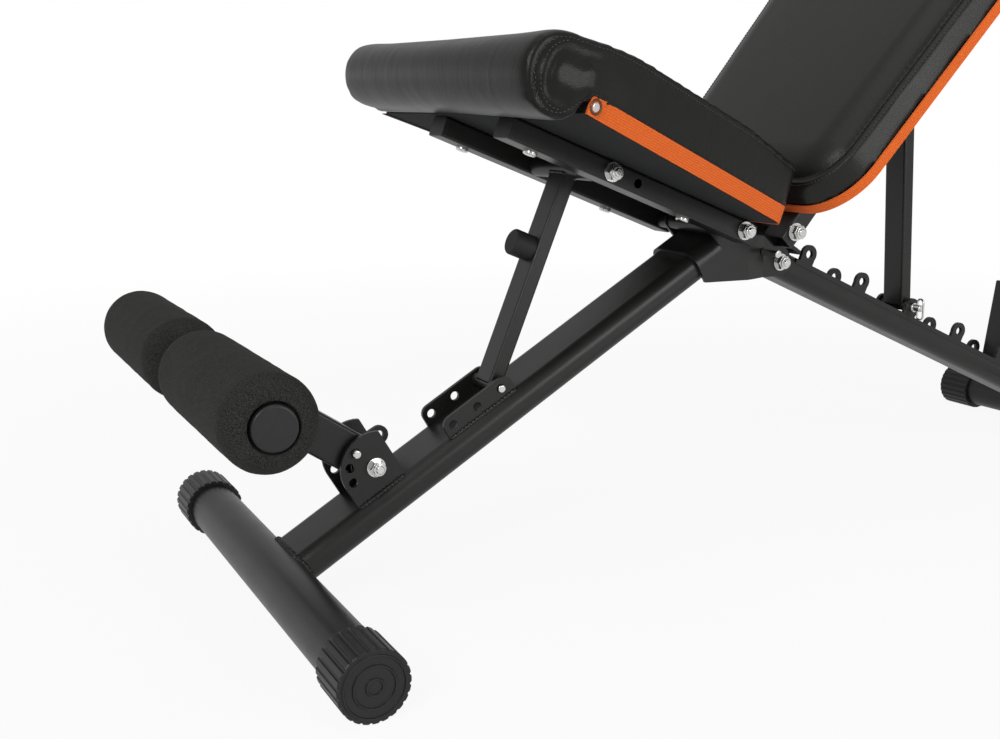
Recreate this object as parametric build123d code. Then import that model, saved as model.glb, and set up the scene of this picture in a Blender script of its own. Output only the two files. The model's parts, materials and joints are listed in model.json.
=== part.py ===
from build123d import *
import os
from math import atan2, cos, degrees, hypot, pi, radians, sin, sqrt, tan

os.makedirs("parts", exist_ok=True)

# Adjustable weight bench: X runs from the leg rollers to the head end, Z is up, floor at Z = 0

# Round feet
FOOT_R = 25.0
FOOT_WALL = 2.0
FOOT_HALF = 258.0
CAP_R = 30.0
CAP_LEN = 49.0
CAP_END = 7.0
CAP_PLAY = 0.4
CAP_FLUTES = 24
CAP_FLUTE_R = 1.7
CAP_FLUTE_DEPTH = 1.5
CAP_LIP_SHARES = (0.84, 0.57, 0.22)
CAP_LIP_W = 1.2
CAP_LIP_H = 1.4
REAR_FOOT_X = 1165.5

# Front leg, a flat oval tube
LEG_H = 30.0
LEG_CORNER = 12.0
LEG_WALL = 2.5
FRONT_LEG_W = 70.0
FRONT_TILT = 30.05
FRONT_DROP = 4.0
FRONT_LEG_END = 575.0

# Rear leg, narrower, on the fold hinge
REAR_LEG_W = 50.0
REAR_TILT = 24.07
HINGE_X = 562.6
HINGE_Z = 286.2
LADDER_FIRST = 40.0
LADDER_PITCH = 87.4
LADDER_COUNT = 5
LADDER_PIN_AT = 2
LADDER_RISE = 23.0
LADDER_EAR_R = 10.3
LADDER_NECK = 1.0
LADDER_SUNK = 2.0
LADDER_GAP_HALF = 20.3
LADDER_BASE = -2.0
LADDER_MARGIN = 4.0
PLATE_T = 4.0
PLATE_SINK = 4.0
BUSH_WALL = 3.0

# Hinge bracket sheet
CHEEK_T = 4.0
LEG_PLAY = 0.2
HINGE_PLAY = 0.8
BRACKET_FRONT = 533.0
BEND_FROM = 49.6
BEND_TO = 22.6
LUG_R = 15.0
SEAT_LUG_R = 10.0
TONGUE_T = 4.0
BRACKET_FOLD = 34.0
BRACKET_TAIL = 3.0
CHEEK_HANG = 0.5
BRACKET_UNDER = 40.0
FOLD_PIN_BACK = 24.8
FOLD_PIN_UP = 12.5

# Pivots
SEAT_PIVOT_X = 468.6
SEAT_PIVOT_Z = 329.2
BACK_PIVOT_X = 533.0
BACK_PIVOT_Z = 324.6
PIVOT_TUBE_R = 8.0
BOLT_R = 4.0
BOLT_PLAY = 0.4
BOLT_TIP = 2.0
PIVOT_PLAY = 0.3
NUT_AF = 13.5
NUT_H = 6.5
NUT_COLLAR_H = 2.5
WASHER_R = 9.2
WASHER_T = 1.8
HEAD_H = 5.5
HEX_CHAMFER = 0.7
SCREW_R = 3.0
SCREW_HEAD_R = 6.5
SCREW_HEAD_H = 4.0

# Rails under seat and back
RAIL_W = 30.0
RAIL_H = 20.0
RAIL_WALL = 2.0
RAIL_Y = 70.0
RAIL_END = 14.0
RAIL_CORNER = 2.4
RAIL_PLAY = 0.5
PLUG_LIP = 4.0
PLUG_DEPTH = 15.0

# Seat
SEAT_TILT = 21.7
SEAT_RAIL_FRONT = -276.0
SEAT_STRUT_AT = -167.5
SEAT_SPARE_AT = -136.5
SEAT_REAR = 2.5
SEAT_SHOULDER = -288.0
SEAT_ROLL_AT = -314.0
SEAT_ROLL_RISE = 37.5
SEAT_ROLL_R = 33.0
SEAT_REAR_HALF = 132.0
SEAT_FRONT_HALF = 206.0
SEAT_TOP = 64.0
SEAT_CROWN = 5.0
SEAT_BELLY = 8.0
SEAT_OVERHANG = 2.0
SEAT_EDGE_R = 12.0
SEAT_BULGE = 3.0
SEAT_SEAM_N = 58.0
SEAM_R = 1.6
RIVET_R = 4.0
RIVET_H = 1.6
RIVET_IN = 7.0
BAND_BACK = 5.0
SEAT_SCREWS = (-247.0, -65.0)

# Back
BACK_TILT = 48.5
BACK_RAIL_END = 590.0
BACK_STRUT_AT = 325.0
BACK_LOW = 18.0
BACK_HIGH = 735.0
BACK_LOW_HALF = 152.0
BACK_HIGH_HALF = 196.0
BACK_TOP = 60.0
BACK_CROWN = 4.0
BACK_CORNER = 58.0
BACK_TOE_R = 34.0
BACK_EDGE = 11.0
BACK_SEAM_IN = 30.0
BACK_SEAM_W = 4.0
BACK_SEAM_D = 3.0
BACK_SCREWS = (70.0, 300.0, 500.0)

# Boards, trim
PAD_GAP = 0.4
BOARD_T = 9.0
BOARD_INSET = 1.5
TRIM_T = 1.6
TRIM_GAP = 0.3
TRIM_LIFT = 0.5
SEAT_TRIM_H = 16.5
BACK_TRIM_H = 10.5
SIDE_DRAW = 2.0
BACK_DRAW = 9.0

# Struts
STRUT_W = 30.0
STRUT_D = 15.0
STRUT_WALL = 1.6
STRUT_CORNER = 2.5
STRUT_SLEEVE_R = 10.0
HOOK_R = 7.5
PIN_R = 4.0
PIN_PLAY = 0.5
BUMPER_R = 13.0
BUMPER_LEN = 22.0
BUMPER_AT = 138.0
MOUTH_LEN = 20.0
SEAT_MOUTH_BELOW = 3.0
SEAT_MOUTH_ABOVE = 11.0
BACK_MOUTH_FLARE = 9.5

# Lock pins
PIN_HEAD_R = 7.0
PIN_HEAD_H = 6.0
PIN_HEAD_GAP = 0.5
SEAT_PIN_TIP = 3.0
ARM_PIN_TIP = 6.0
FOLD_PIN_TIP = 27.0
BACK_PIN_TIP = 6.0
COLLAR_R = 5.4
COLLAR_H = 3.0
STUB_LEN = 10.0
CLIP_R = 1.1
CLIP_TALL = 24.0
CLIP_WIDE = 9.0

# Half length of a cutter that passes right through
THROUGH = 300.0

# Seat strut bracket, two plates with three holes
STEP_FIRST = 228.9
STEP_PITCH = 29.7
STEP_RISE = 24.7
STEP_GAP_HALF = 23.2
STEP_EDGE = 9.5
STEP_CORNER = 9.0
STEP_TAIL = 4.0

# Leg roller bracket, arm and rollers
ARM_PIVOT_S = 144.7
ARM_PIVOT_RISE = 38.8
ARM_PLATE_R = 34.0
ARM_PLATE_BACK = 20.3
ARM_PIN_R = 25.2
ARM_PIN_STEP = 34.0
ARM_PIN_LEAD = 4.7
ARM_EAR_S = 28.5
ARM_EAR_RISE = 1.3
ARM_EAR_R = 9.5
ARM_EAR_ROOT = 12.0
ARM_TILT = 145.5
ARM_LEN = 189.0
ARM_SIZE = 38.0
ARM_WALL = 2.0
BAR_R = 11.0
BAR_WALL = 2.0
FOAM_R = 37.4
FOAM_END_R = 17.0
FOAM_OUT = 238.0
FOAM_IN = 21.0
FOAM_PLAY = 0.3
PLUG_R = 17.4
PLUG_H = 5.5
PLUG_SEAT = 3.0
PLUG_SHANK = 22.0
FOAM_RIM_GAP = 2.0
FOAM_RECESS = 5.0
SPACER_R = 13.0
SPACER_PLAY = 0.1
ARM_EDGE_R = 3.0
ARM_SLOT_SWEEP = 92.0

# Rear rest post
POST_W = 30.0
POST_D = 30.0
POST_TILT = 81.0
POST_AFTER = 27.0
POST_TALL = 98.0
POST_WALL = 1.8
POST_CORNER = 3.0
POST_CAP_H = 5.0
POST_SPIGOT = 18.0
POST_ROOT = 25.0


# Shape helpers


def rod_y(x, z, r, y0, y1):
    # round bar along Y
    base = Plane(origin=(x, y0, z), x_dir=(1, 0, 0), z_dir=(0, 1, 0))
    return base * Cylinder(r, y1 - y0, align=(Align.CENTER, Align.CENTER, Align.MIN))


def bore(x, z, r):
    # cutter along Y that passes right through
    return rod_y(x, z, r, -THROUGH, THROUGH)


def side_face(pts):
    # face in the XZ plane from points given as (x, z)
    return make_face(Polyline(*[(x, 0, z) for x, z in pts], close=True))


def prism(pts, y0, y1):
    # plate standing in the XZ plane between two Y values
    return Pos(0, y0, 0) * extrude(side_face(pts), y1 - y0, dir=(0, 1, 0))


def arc_pts(cx, cz, r, a0, a1, n=12):
    return [
        (cx + r * cos(radians(a0 + (a1 - a0) * i / n)), cz + r * sin(radians(a0 + (a1 - a0) * i / n)))
        for i in range(n + 1)
    ]


def oval_tube(plane, w, h, r, wall, length):
    # rounded tube with its section on the given plane, running along the plane's Z
    outer = extrude(plane * RectangleRounded(w, h, r), length)
    inner = extrude(plane * RectangleRounded(w - 2 * wall, h - 2 * wall, r - wall), length)
    return outer - inner, outer


def both_sides(shape):
    return [shape, shape.mirror(Plane.XZ)]


def hex_prism(x, z, af, y0, y1):
    # hexagon along Y with its corners turned down
    base = Plane(origin=(x, y0, z), x_dir=(1, 0, 0), z_dir=(0, 1, 0))
    blank = rod_y(x, z, af / sqrt(3), y0, y1)
    blank = chamfer(blank.edges().filter_by(GeomType.CIRCLE), HEX_CHAMFER)
    return extrude(base * RegularPolygon(af / sqrt(3), 6), y1 - y0) & blank


def bolt(x, z, y_nut, y_head):
    # hex bolt along Y with its head on the +Y side
    tip = y_nut - NUT_H - NUT_COLLAR_H - BOLT_TIP
    shank = rod_y(x, z, BOLT_R, tip, y_head + HEAD_H / 2)
    shank = chamfer(shank.edges().sort_by(Axis.Y)[0], HEX_CHAMFER)
    return shank + hex_prism(x, z, NUT_AF, y_head, y_head + HEAD_H)


def nut(x, z, y_nut):
    # locking nut on the -Y side: hexagon with a round collar
    body = hex_prism(x, z, NUT_AF, y_nut - NUT_H, y_nut)
    collar = rod_y(x, z, NUT_AF / 2 - HEX_CHAMFER, y_nut - NUT_H - NUT_COLLAR_H, y_nut - NUT_H / 2)
    collar = fillet(collar.edges().sort_by(Axis.Y)[0], HEX_CHAMFER)
    return body + collar - bore(x, z, BOLT_R)


def washer(x, z, y0, y1):
    return rod_y(x, z, WASHER_R, y0, y1) - bore(x, z, BOLT_R)


def fastener_set(x, z, half):
    # bolt, nut and two washers clamping a stack that is 2 * half wide
    y = half + WASHER_T
    washers = [washer(x, z, -y, -half), washer(x, z, half, y)]
    return bolt(x, z, -y, y), nut(x, z, -y), washers


# Direction frames

FT = radians(FRONT_TILT)
RT = radians(REAR_TILT)


def front(s, n):
    # point along and above the front leg's line through the foot
    x0, z0 = 0.0, CAP_R
    return x0 + s * cos(FT) - n * sin(FT), z0 + s * sin(FT) + n * cos(FT)


FOOT_S = CAP_R * sin(FT)
LEG_MID = -FRONT_DROP
LEG_TOP = LEG_MID + LEG_H / 2


def rear(s, n):
    # point along and above the rear leg's line through the hinge
    return HINGE_X + s * cos(RT) + n * sin(RT), HINGE_Z - s * sin(RT) + n * cos(RT)


def tilted(x, z, angle):
    # plane whose X runs along the given angle in the XZ plane and whose Z is the upper side
    a = radians(angle)
    return Plane(origin=(x, 0, z), x_dir=(cos(a), 0, sin(a)), z_dir=(-sin(a), 0, cos(a)))


SEAT = tilted(SEAT_PIVOT_X, SEAT_PIVOT_Z, -SEAT_TILT)
BACK = tilted(BACK_PIVOT_X, BACK_PIVOT_Z, BACK_TILT)


def on(plane, a, n):
    p = plane.from_local_coords(Vector(a, 0, n))
    return p.X, p.Z


NODES = {}

# Feet with ribbed end caps


def foot(x):
    half = FOOT_HALF - CAP_END
    return rod_y(x, CAP_R, FOOT_R, -half, half) - rod_y(x, CAP_R, FOOT_R - FOOT_WALL, -half, half)


def cap(x):
    # cup with a ringed end face and fluted rim, on the +Y end
    y0 = FOOT_HALF - CAP_LEN
    floor = FOOT_HALF - CAP_END + CAP_PLAY
    face_y = FOOT_HALF - CAP_LIP_H
    bevel = CAP_FLUTE_DEPTH / 2
    pts = [(0, floor), (FOOT_R, floor), (FOOT_R, y0), (CAP_R - bevel, y0), (CAP_R, y0 + bevel)]
    pts += [(CAP_R, face_y - bevel), (CAP_R - bevel, face_y)]
    for share in CAP_LIP_SHARES:
        r = share * CAP_R
        pts += [(r + CAP_LIP_W, face_y), (r + CAP_LIP_W / 2, FOOT_HALF)]
        pts += [(r - CAP_LIP_W / 2, FOOT_HALF), (r - CAP_LIP_W, face_y)]
    pts += [(0, face_y)]
    body = revolve(make_face(Polyline(*[(r, y, 0) for r, y in pts], close=True)), Axis.Y)
    for i in range(CAP_FLUTES):
        a = 2 * pi * (i + 0.5) / CAP_FLUTES
        r = CAP_R - CAP_FLUTE_DEPTH + CAP_FLUTE_R
        body -= bore(r * cos(a), r * sin(a), CAP_FLUTE_R)
    return Pos(x, 0, CAP_R) * body


NODES["front_foot_tube"] = foot(0.0)
NODES["front_foot_caps"] = both_sides(cap(0.0))

# Front leg

fx, fz = front(0.0, LEG_MID)
leg_plane = Plane(origin=(fx, 0, fz), x_dir=(0, 1, 0), z_dir=(cos(FT), 0, sin(FT)))
leg_end = FRONT_LEG_END - FOOT_S
front_leg, front_leg_solid = oval_tube(leg_plane, FRONT_LEG_W, LEG_H, LEG_CORNER, LEG_WALL, leg_end)
NODES["front_leg_tube"] = front_leg - bore(0, CAP_R, FOOT_R)

# Rear foot and leg

rear_foot_s = (REAR_FOOT_X - HINGE_X) * cos(RT) + (HINGE_Z - CAP_R) * sin(RT)
rx, rz = rear(0.0, 0.0)
rear_plane = Plane(origin=(rx, 0, rz), x_dir=(0, 1, 0), z_dir=(cos(RT), 0, -sin(RT)))
rear_leg, rear_leg_solid = oval_tube(rear_plane, REAR_LEG_W, LEG_H, LEG_CORNER, LEG_WALL, rear_foot_s)
heel = rod_y(rx, rz, LEG_H / 2, -REAR_LEG_W / 2 + LEG_CORNER, REAR_LEG_W / 2 - LEG_CORNER)
bush_r = BOLT_R + BOLT_PLAY + BUSH_WALL
NODES["rear_leg_tube"] = rear_leg + heel - bore(rx, rz, bush_r) - bore(REAR_FOOT_X, CAP_R, FOOT_R)
bush_half = REAR_LEG_W / 2 + HINGE_PLAY / 2
NODES["hinge_bush"] = rod_y(rx, rz, bush_r, -bush_half, bush_half) - bore(rx, rz, BOLT_R + BOLT_PLAY)
NODES["rear_foot_tube"] = foot(REAR_FOOT_X)
NODES["rear_foot_caps"] = both_sides(cap(REAR_FOOT_X))

# Ladder plates on the rear leg: a strip with one eared hole per back setting

LADDER_LAST = LADDER_FIRST + (LADDER_COUNT - 1) * LADDER_PITCH


def ladder_plate(y0, y1):
    # strip sunk beside the leg's top with necked ears, trimmed to the leg's rounded side
    start = LADDER_FIRST - LADDER_EAR_R - LADDER_MARGIN
    end = LADDER_LAST + LADDER_EAR_R + LADDER_MARGIN
    top = LEG_H / 2 - LADDER_SUNK
    neck = LADDER_EAR_R - LADDER_NECK
    strip = [rear(start, LADDER_BASE), rear(end, LADDER_BASE), rear(end, top), rear(start, top)]
    plate = prism(strip, y0, y1)
    for i in range(LADDER_COUNT):
        s = LADDER_FIRST + i * LADDER_PITCH
        root = [rear(s - neck, LADDER_BASE), rear(s + neck, LADDER_BASE)]
        ex, ez = rear(s, LADDER_RISE)
        head = arc_pts(ex, ez, LADDER_EAR_R, -20 - REAR_TILT, 200 - REAR_TILT)
        plate += prism(root + head, y0, y1)
        plate -= bore(ex, ez, PIN_R + PIN_PLAY)
    return plate - rear_leg_solid


NODES["ladder_plate_near"] = ladder_plate(-LADDER_GAP_HALF - PLATE_T, -LADDER_GAP_HALF)
NODES["ladder_plate_far"] = ladder_plate(LADDER_GAP_HALF, LADDER_GAP_HALF + PLATE_T)

# Rest post near the rear foot

PT = radians(POST_TILT)


def post_section(rise):
    # plane across the post, at the given height along it above the leg's top
    x, z = rear(LADDER_LAST + POST_AFTER, LEG_H / 2)
    origin = (x + rise * cos(PT), 0, z + rise * sin(PT))
    return Plane(origin=origin, x_dir=(0, 1, 0), z_dir=(cos(PT), 0, sin(PT)))


post, _ = oval_tube(
    post_section(-POST_ROOT), POST_W, POST_D, POST_CORNER, POST_WALL, POST_TALL + POST_ROOT
)
NODES["rest_post"] = post - rear_leg_solid
post_cap = extrude(post_section(POST_TALL) * RectangleRounded(POST_W, POST_D, POST_CORNER), POST_CAP_H)
post_cap = fillet(post_cap.faces().sort_by(Axis.Z)[-1].edges(), POST_CAP_H * 0.4)
spigot_w = POST_W - 2 * POST_WALL
spigot_d = POST_D - 2 * POST_WALL
post_cap += extrude(
    post_section(POST_TALL) * RectangleRounded(spigot_w, spigot_d, POST_CORNER - POST_WALL), -POST_SPIGOT
)
NODES["rest_post_cap"] = post_cap

# Hinge bracket: folded sheet over the front leg, cheeks bent in round the rear leg

cheek_in = FRONT_LEG_W / 2 + LEG_PLAY
cheek_out = cheek_in + CHEEK_T
tail_in = REAR_LEG_W / 2 + HINGE_PLAY
tail_out = tail_in + CHEEK_T
bend0 = HINGE_X - BEND_FROM
bend1 = HINGE_X - BEND_TO
wall0 = bend0 - 6 * LUG_R
wall1 = HINGE_X + 2 * LUG_R
plan = [(wall0, cheek_in), (bend0 + 1.2, cheek_in), (bend1 + 1.2, tail_in), (wall1, tail_in)]
plan += [(wall1, tail_out), (bend1, tail_out), (bend0, cheek_out), (wall0, cheek_out)]
plan_face = make_face(Polyline(*[(x, y, 0) for x, y in plan], close=True))
cheek_wall = extrude(plan_face, 2 * HINGE_Z, dir=(0, 0, 1))
bs = BRACKET_FRONT - FOOT_S
saddle_end = FRONT_LEG_END - FOOT_S + BRACKET_TAIL
fold_n = LEG_TOP - LEG_CORNER
side = [front(bs, LEG_MID - LEG_H / 2 - CHEEK_HANG), front(bs, fold_n), front(bs + BRACKET_FOLD, fold_n)]
side += arc_pts(SEAT_PIVOT_X, SEAT_PIVOT_Z, SEAT_LUG_R, 195, 35, 10)
side += arc_pts(BACK_PIVOT_X, BACK_PIVOT_Z, LUG_R, 100, 10, 8)
side += arc_pts(HINGE_X, HINGE_Z, LUG_R, 35, -90, 8)
side += [(HINGE_X - BRACKET_UNDER, HINGE_Z - LUG_R)]
cheek = cheek_wall & prism(side, 0, THROUGH)


def saddle_bar(gap):
    # solid that stands off the leg's outside by the given gap
    x, z = front(bs, LEG_MID)
    base = Plane(origin=(x, 0, z), x_dir=(0, 1, 0), z_dir=(cos(FT), 0, sin(FT)))
    section = RectangleRounded(FRONT_LEG_W + 2 * gap, LEG_H + 2 * gap, LEG_CORNER + gap)
    return extrude(base * section, saddle_end - bs)


saddle = saddle_bar(LEG_PLAY + CHEEK_T) - saddle_bar(LEG_PLAY)
low_side = [front(bs - 1, fold_n - 1), front(bs - 1, -THROUGH), front(saddle_end + 1, -THROUGH)]
saddle -= prism(low_side + [front(saddle_end + 1, fold_n - 1)], -THROUGH, THROUGH)
# stop tongue that the rear leg meets when fully open
tongue_line = [(-11.6, 24.6), (3.4, 22.6), (16.0, 17.2), (31.0, 7.6)]
tongue_up = [(HINGE_X + x, HINGE_Z + z + TONGUE_T / 2) for x, z in tongue_line]
tongue_low = [(HINGE_X + x - 1.5, HINGE_Z + z - TONGUE_T / 2) for x, z in reversed(tongue_line)]
tongue = prism(tongue_up + tongue_low, -tail_in - 1.5, tail_in + 1.5)
FOLD_PIN_X = HINGE_X - FOLD_PIN_BACK
FOLD_PIN_Z = HINGE_Z + FOLD_PIN_UP
bracket = saddle + cheek + cheek.mirror(Plane.XZ) + tongue
bracket -= bore(SEAT_PIVOT_X, SEAT_PIVOT_Z, PIVOT_TUBE_R)
bracket -= bore(BACK_PIVOT_X, BACK_PIVOT_Z, PIVOT_TUBE_R)
bracket -= bore(HINGE_X, HINGE_Z, BOLT_R + BOLT_PLAY)
bracket -= bore(FOLD_PIN_X, FOLD_PIN_Z, PIN_R + PIN_PLAY)
NODES["hinge_bracket"] = bracket

# Cross tubes that carry seat and back

tube_half = RAIL_Y - RAIL_W / 2 - RAIL_PLAY


def pivot_tube(x, z):
    return rod_y(x, z, PIVOT_TUBE_R, -tube_half, tube_half) - bore(x, z, BOLT_R + BOLT_PLAY)


NODES["seat_pivot_tube"] = pivot_tube(SEAT_PIVOT_X, SEAT_PIVOT_Z)
NODES["back_pivot_tube"] = pivot_tube(BACK_PIVOT_X, BACK_PIVOT_Z)

# Seat strut bracket plates on the front leg

STEP_S = [STEP_FIRST - FOOT_S + i * STEP_PITCH for i in range(3)]
STEP_N = LEG_MID + STEP_RISE


def step_plate(y0, y1):
    s0 = STEP_S[0] - STEP_EDGE
    s1 = STEP_S[2] + STEP_EDGE + STEP_TAIL
    n0 = LEG_TOP - PLATE_SINK
    n1 = STEP_N + STEP_EDGE
    r = STEP_CORNER
    pts = [front(s0, n0), front(s1, n0)]
    c1 = front(s1 - r, n1 - r)
    c0 = front(s0 + r, n1 - r)
    pts += arc_pts(c1[0], c1[1], r, FRONT_TILT, FRONT_TILT + 90, 5)
    pts += arc_pts(c0[0], c0[1], r, FRONT_TILT + 90, FRONT_TILT + 180, 5)
    plate = prism(pts, y0, y1)
    for s in STEP_S:
        hx, hz = front(s, STEP_N)
        plate -= bore(hx, hz, PIN_R + PIN_PLAY)
    return plate - front_leg_solid


NODES["strut_bracket_near"] = step_plate(-STEP_GAP_HALF - PLATE_T, -STEP_GAP_HALF)
NODES["strut_bracket_far"] = step_plate(STEP_GAP_HALF, STEP_GAP_HALF + PLATE_T)

# Leg roller bracket plates; the far one has a spare lug

AX, AZ = front(ARM_PIVOT_S - FOOT_S, LEG_MID + ARM_PIVOT_RISE)
pin_angles = [ARM_TILT - ARM_PIN_LEAD + i * ARM_PIN_STEP for i in range(3)]
ARM_PINS = [
    (AX + ARM_PIN_R * cos(radians(a)), AZ + ARM_PIN_R * sin(radians(a))) for a in pin_angles
]
ARM_PIN_X, ARM_PIN_Z = ARM_PINS[0]
EAR_X, EAR_Z = front(ARM_PIVOT_S - FOOT_S + ARM_EAR_S, LEG_MID + ARM_PIVOT_RISE + ARM_EAR_RISE)


def roller_plate(y0, y1, lug):
    s = ARM_PIVOT_S - FOOT_S
    n0 = LEG_TOP - PLATE_SINK
    reach = degrees(atan2(sqrt(ARM_PLATE_R**2 - ARM_PLATE_BACK**2), ARM_PLATE_BACK))
    pts = [front(s - ARM_PLATE_R, n0), front(s + ARM_PLATE_BACK, n0)]
    pts += arc_pts(AX, AZ, ARM_PLATE_R, FRONT_TILT + reach, FRONT_TILT + 180, 16)
    plate = prism(pts, y0, y1)
    if lug:
        rise = LEG_MID + ARM_PIVOT_RISE
        ear = [front(s, rise - ARM_EAR_ROOT)]
        ear += arc_pts(EAR_X, EAR_Z, ARM_EAR_R, FRONT_TILT - 95, FRONT_TILT + 95, 10)
        plate += prism(ear + [front(s, rise + ARM_EAR_ROOT)], y0, y1)
        plate -= bore(EAR_X, EAR_Z, PIN_R + PIN_PLAY)
    plate -= bore(AX, AZ, BOLT_R + BOLT_PLAY)
    for hx, hz in ARM_PINS:
        plate -= bore(hx, hz, PIN_R + PIN_PLAY)
    return plate - front_leg_solid


NODES["roller_bracket_near"] = roller_plate(-STEP_GAP_HALF - PLATE_T, -STEP_GAP_HALF, False)
NODES["roller_bracket_far"] = roller_plate(STEP_GAP_HALF, STEP_GAP_HALF + PLATE_T, True)

# Pivot fasteners of the frame

rail_out = RAIL_Y + RAIL_W / 2
sets = [
    fastener_set(SEAT_PIVOT_X, SEAT_PIVOT_Z, rail_out + PIVOT_PLAY),
    fastener_set(BACK_PIVOT_X, BACK_PIVOT_Z, rail_out + PIVOT_PLAY),
    fastener_set(HINGE_X, HINGE_Z, tail_out),
    fastener_set(AX, AZ, STEP_GAP_HALF + PLATE_T),
]
NODES["pivot_bolts"] = [s[0] for s in sets]
NODES["pivot_nuts"] = [s[1] for s in sets]
NODES["pivot_washers"] = [w for s in sets for w in s[2]]

# Roller arm, cross bar and foam


def arm_point(u, v):
    # along the arm from its pivot, and to its upper side
    a = radians(ARM_TILT)
    return AX + u * cos(a) + v * sin(a), AZ + u * sin(a) - v * cos(a)


at = radians(ARM_TILT)
arm_half = ARM_SIZE / 2
RX, RZ = arm_point(ARM_LEN, 0)


def arm_bar(size, half):
    # bar with two round ends, lying in the XZ plane from the arm's pivot to the roller axis
    mx, mz = arm_point(ARM_LEN / 2, 0)
    base = Plane(origin=(mx, 0, mz), x_dir=(cos(at), 0, sin(at)), z_dir=(0, -1, 0))
    return extrude(base * SlotCenterToCenter(ARM_LEN, size), half, both=True)


arm_tube = arm_bar(ARM_SIZE, arm_half)
rims = arm_tube.faces().sort_by(Axis.Y)
arm_tube = fillet(rims[0].edges() + rims[-1].edges(), ARM_EDGE_R)
arm_tube -= arm_bar(ARM_SIZE - 2 * ARM_WALL, arm_half - ARM_WALL)
arm_tube -= bore(AX, AZ, BOLT_R + BOLT_PLAY)
arm_tube -= bore(RX, RZ, BAR_R)
# curved way that lets the arm lift off its pin, from the pin out through the lower edge
slot_w = PIN_R + PIN_PLAY
lead = ARM_TILT - ARM_PIN_LEAD - 1.1 * degrees(slot_w / ARM_PIN_R)
leave = lead + ARM_SLOT_SWEEP
arm_tube -= prism(
    arc_pts(AX, AZ, ARM_PIN_R + slot_w, lead, leave, 16)
    + arc_pts(AX, AZ, ARM_PIN_R - slot_w, leave, lead, 16),
    -THROUGH,
    THROUGH,
)
NODES["roller_arm_tube"] = arm_tube
bar_half = FOAM_OUT - PLUG_SEAT
NODES["roller_bar"] = rod_y(RX, RZ, BAR_R, -bar_half, bar_half) - bore(RX, RZ, BAR_R - BAR_WALL)
spacer = rod_y(AX, AZ, SPACER_R, arm_half, STEP_GAP_HALF - SPACER_PLAY) - bore(AX, AZ, BOLT_R + BOLT_PLAY)
NODES["arm_spacers"] = both_sides(spacer)
plug = rod_y(RX, RZ, PLUG_R, bar_half, bar_half + PLUG_H)
plug = fillet(plug.edges().sort_by(Axis.Y)[-1], 2.0)
plug += rod_y(RX, RZ, BAR_R - BAR_WALL, bar_half - PLUG_SHANK, bar_half + PLUG_H / 2)
NODES["roller_end_plugs"] = both_sides(plug)


def foam(sign):
    # foam sleeve with rounded ends and a recess for the end plug
    ri = BAR_R + FOAM_PLAY
    ro = FOAM_R
    e = FOAM_END_R
    y0, y1 = FOAM_IN, FOAM_OUT
    rim = PLUG_R + FOAM_RIM_GAP
    deep = y1 - FOAM_RECESS
    pts = [(ri, y0), (ro - e, y0)] + arc_pts(ro - e, y0 + e, e, -90, 0, 6)[1:]
    pts += arc_pts(ro - e, y1 - e, e, 0, 90, 6)
    pts += [(rim, y1), (rim, deep), (ri, deep)]
    face = make_face(Polyline(*[(r, y, 0) for r, y in pts], close=True))
    body = Pos(RX, 0, RZ) * revolve(face, Axis.Y)
    return body if sign > 0 else body.mirror(Plane.XZ)


NODES["foam_roller_near"] = foam(-1)
NODES["foam_roller_far"] = foam(1)


# Rails, plugs, boards, pads; built in the tilted frame of seat or back


def rail(a0, a1, yc, holes):
    base = Plane(origin=(a0, yc, 0), x_dir=(0, 1, 0), z_dir=(1, 0, 0))
    body, _ = oval_tube(base, RAIL_W, RAIL_H, RAIL_CORNER, RAIL_WALL, a1 - a0)
    for a in holes:
        body -= bore(a, 0, BOLT_R + BOLT_PLAY)
    return body


def screw_holes(body, spots, sides, r):
    # upright holes for the pad screws
    for yc in sides:
        for a in spots:
            body -= Pos(a, yc, 0) * Cylinder(r, 2 * THROUGH)
    return body


def rail_plug(a, yc, out):
    # plastic plug in a rail end; out is -1 or 1 along the rail
    base = Plane(origin=(a, yc, 0), x_dir=(0, 1, 0), z_dir=(out, 0, 0))
    head = extrude(base * RectangleRounded(RAIL_W, RAIL_H, RAIL_CORNER), PLUG_LIP)
    edge = head.faces().sort_by(Axis.X)[-1 if out > 0 else 0].edges()
    head = fillet(edge, HEX_CHAMFER)
    inner_w = RAIL_W - 2 * RAIL_WALL
    inner_h = RAIL_H - 2 * RAIL_WALL
    return head + extrude(base * RectangleRounded(inner_w, inner_h, RAIL_CORNER - RAIL_WALL), -PLUG_DEPTH)


def pad_screw(a, yc):
    # pan head screw up through the rail into the board
    low = -RAIL_H / 2
    upright = (Align.CENTER, Align.CENTER, Align.MIN)
    reach = RAIL_H + PAD_GAP + BOARD_T * 0.6
    shank = Pos(a, yc, low - SCREW_HEAD_H / 2) * Cylinder(SCREW_R, reach + SCREW_HEAD_H / 2, align=upright)
    head = Pos(a, yc, low - SCREW_HEAD_H) * Cylinder(SCREW_HEAD_R, SCREW_HEAD_H, align=upright)
    return shank + fillet(head.edges().sort_by(Axis.Z)[0], SCREW_HEAD_H * 0.45)


def outline(pts, radii):
    # closed plan outline with one corner radius per point
    loop = []
    count = len(pts)
    for i in range(count):
        p, q, r = Vector(*pts[i - 1]), Vector(*pts[i]), Vector(*pts[(i + 1) % count])
        u, v = (p - q).normalized(), (r - q).normalized()
        half = u.get_angle(v) / 2
        d = radii[i] / (sin(radians(half)) / cos(radians(half)))
        c = q + (u + v).normalized() * (radii[i] / sin(radians(half)))
        start, end = q + u * d, q + v * d
        mid = c + (q - c).normalized() * radii[i]
        loop.append((start, mid, end))
    edges = []
    for i in range(count):
        edges.append(ThreePointArc(*loop[i]))
        edges.append(Line(loop[i][2], loop[(i + 1) % count][0]))
    return make_face(Wire(edges))


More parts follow.
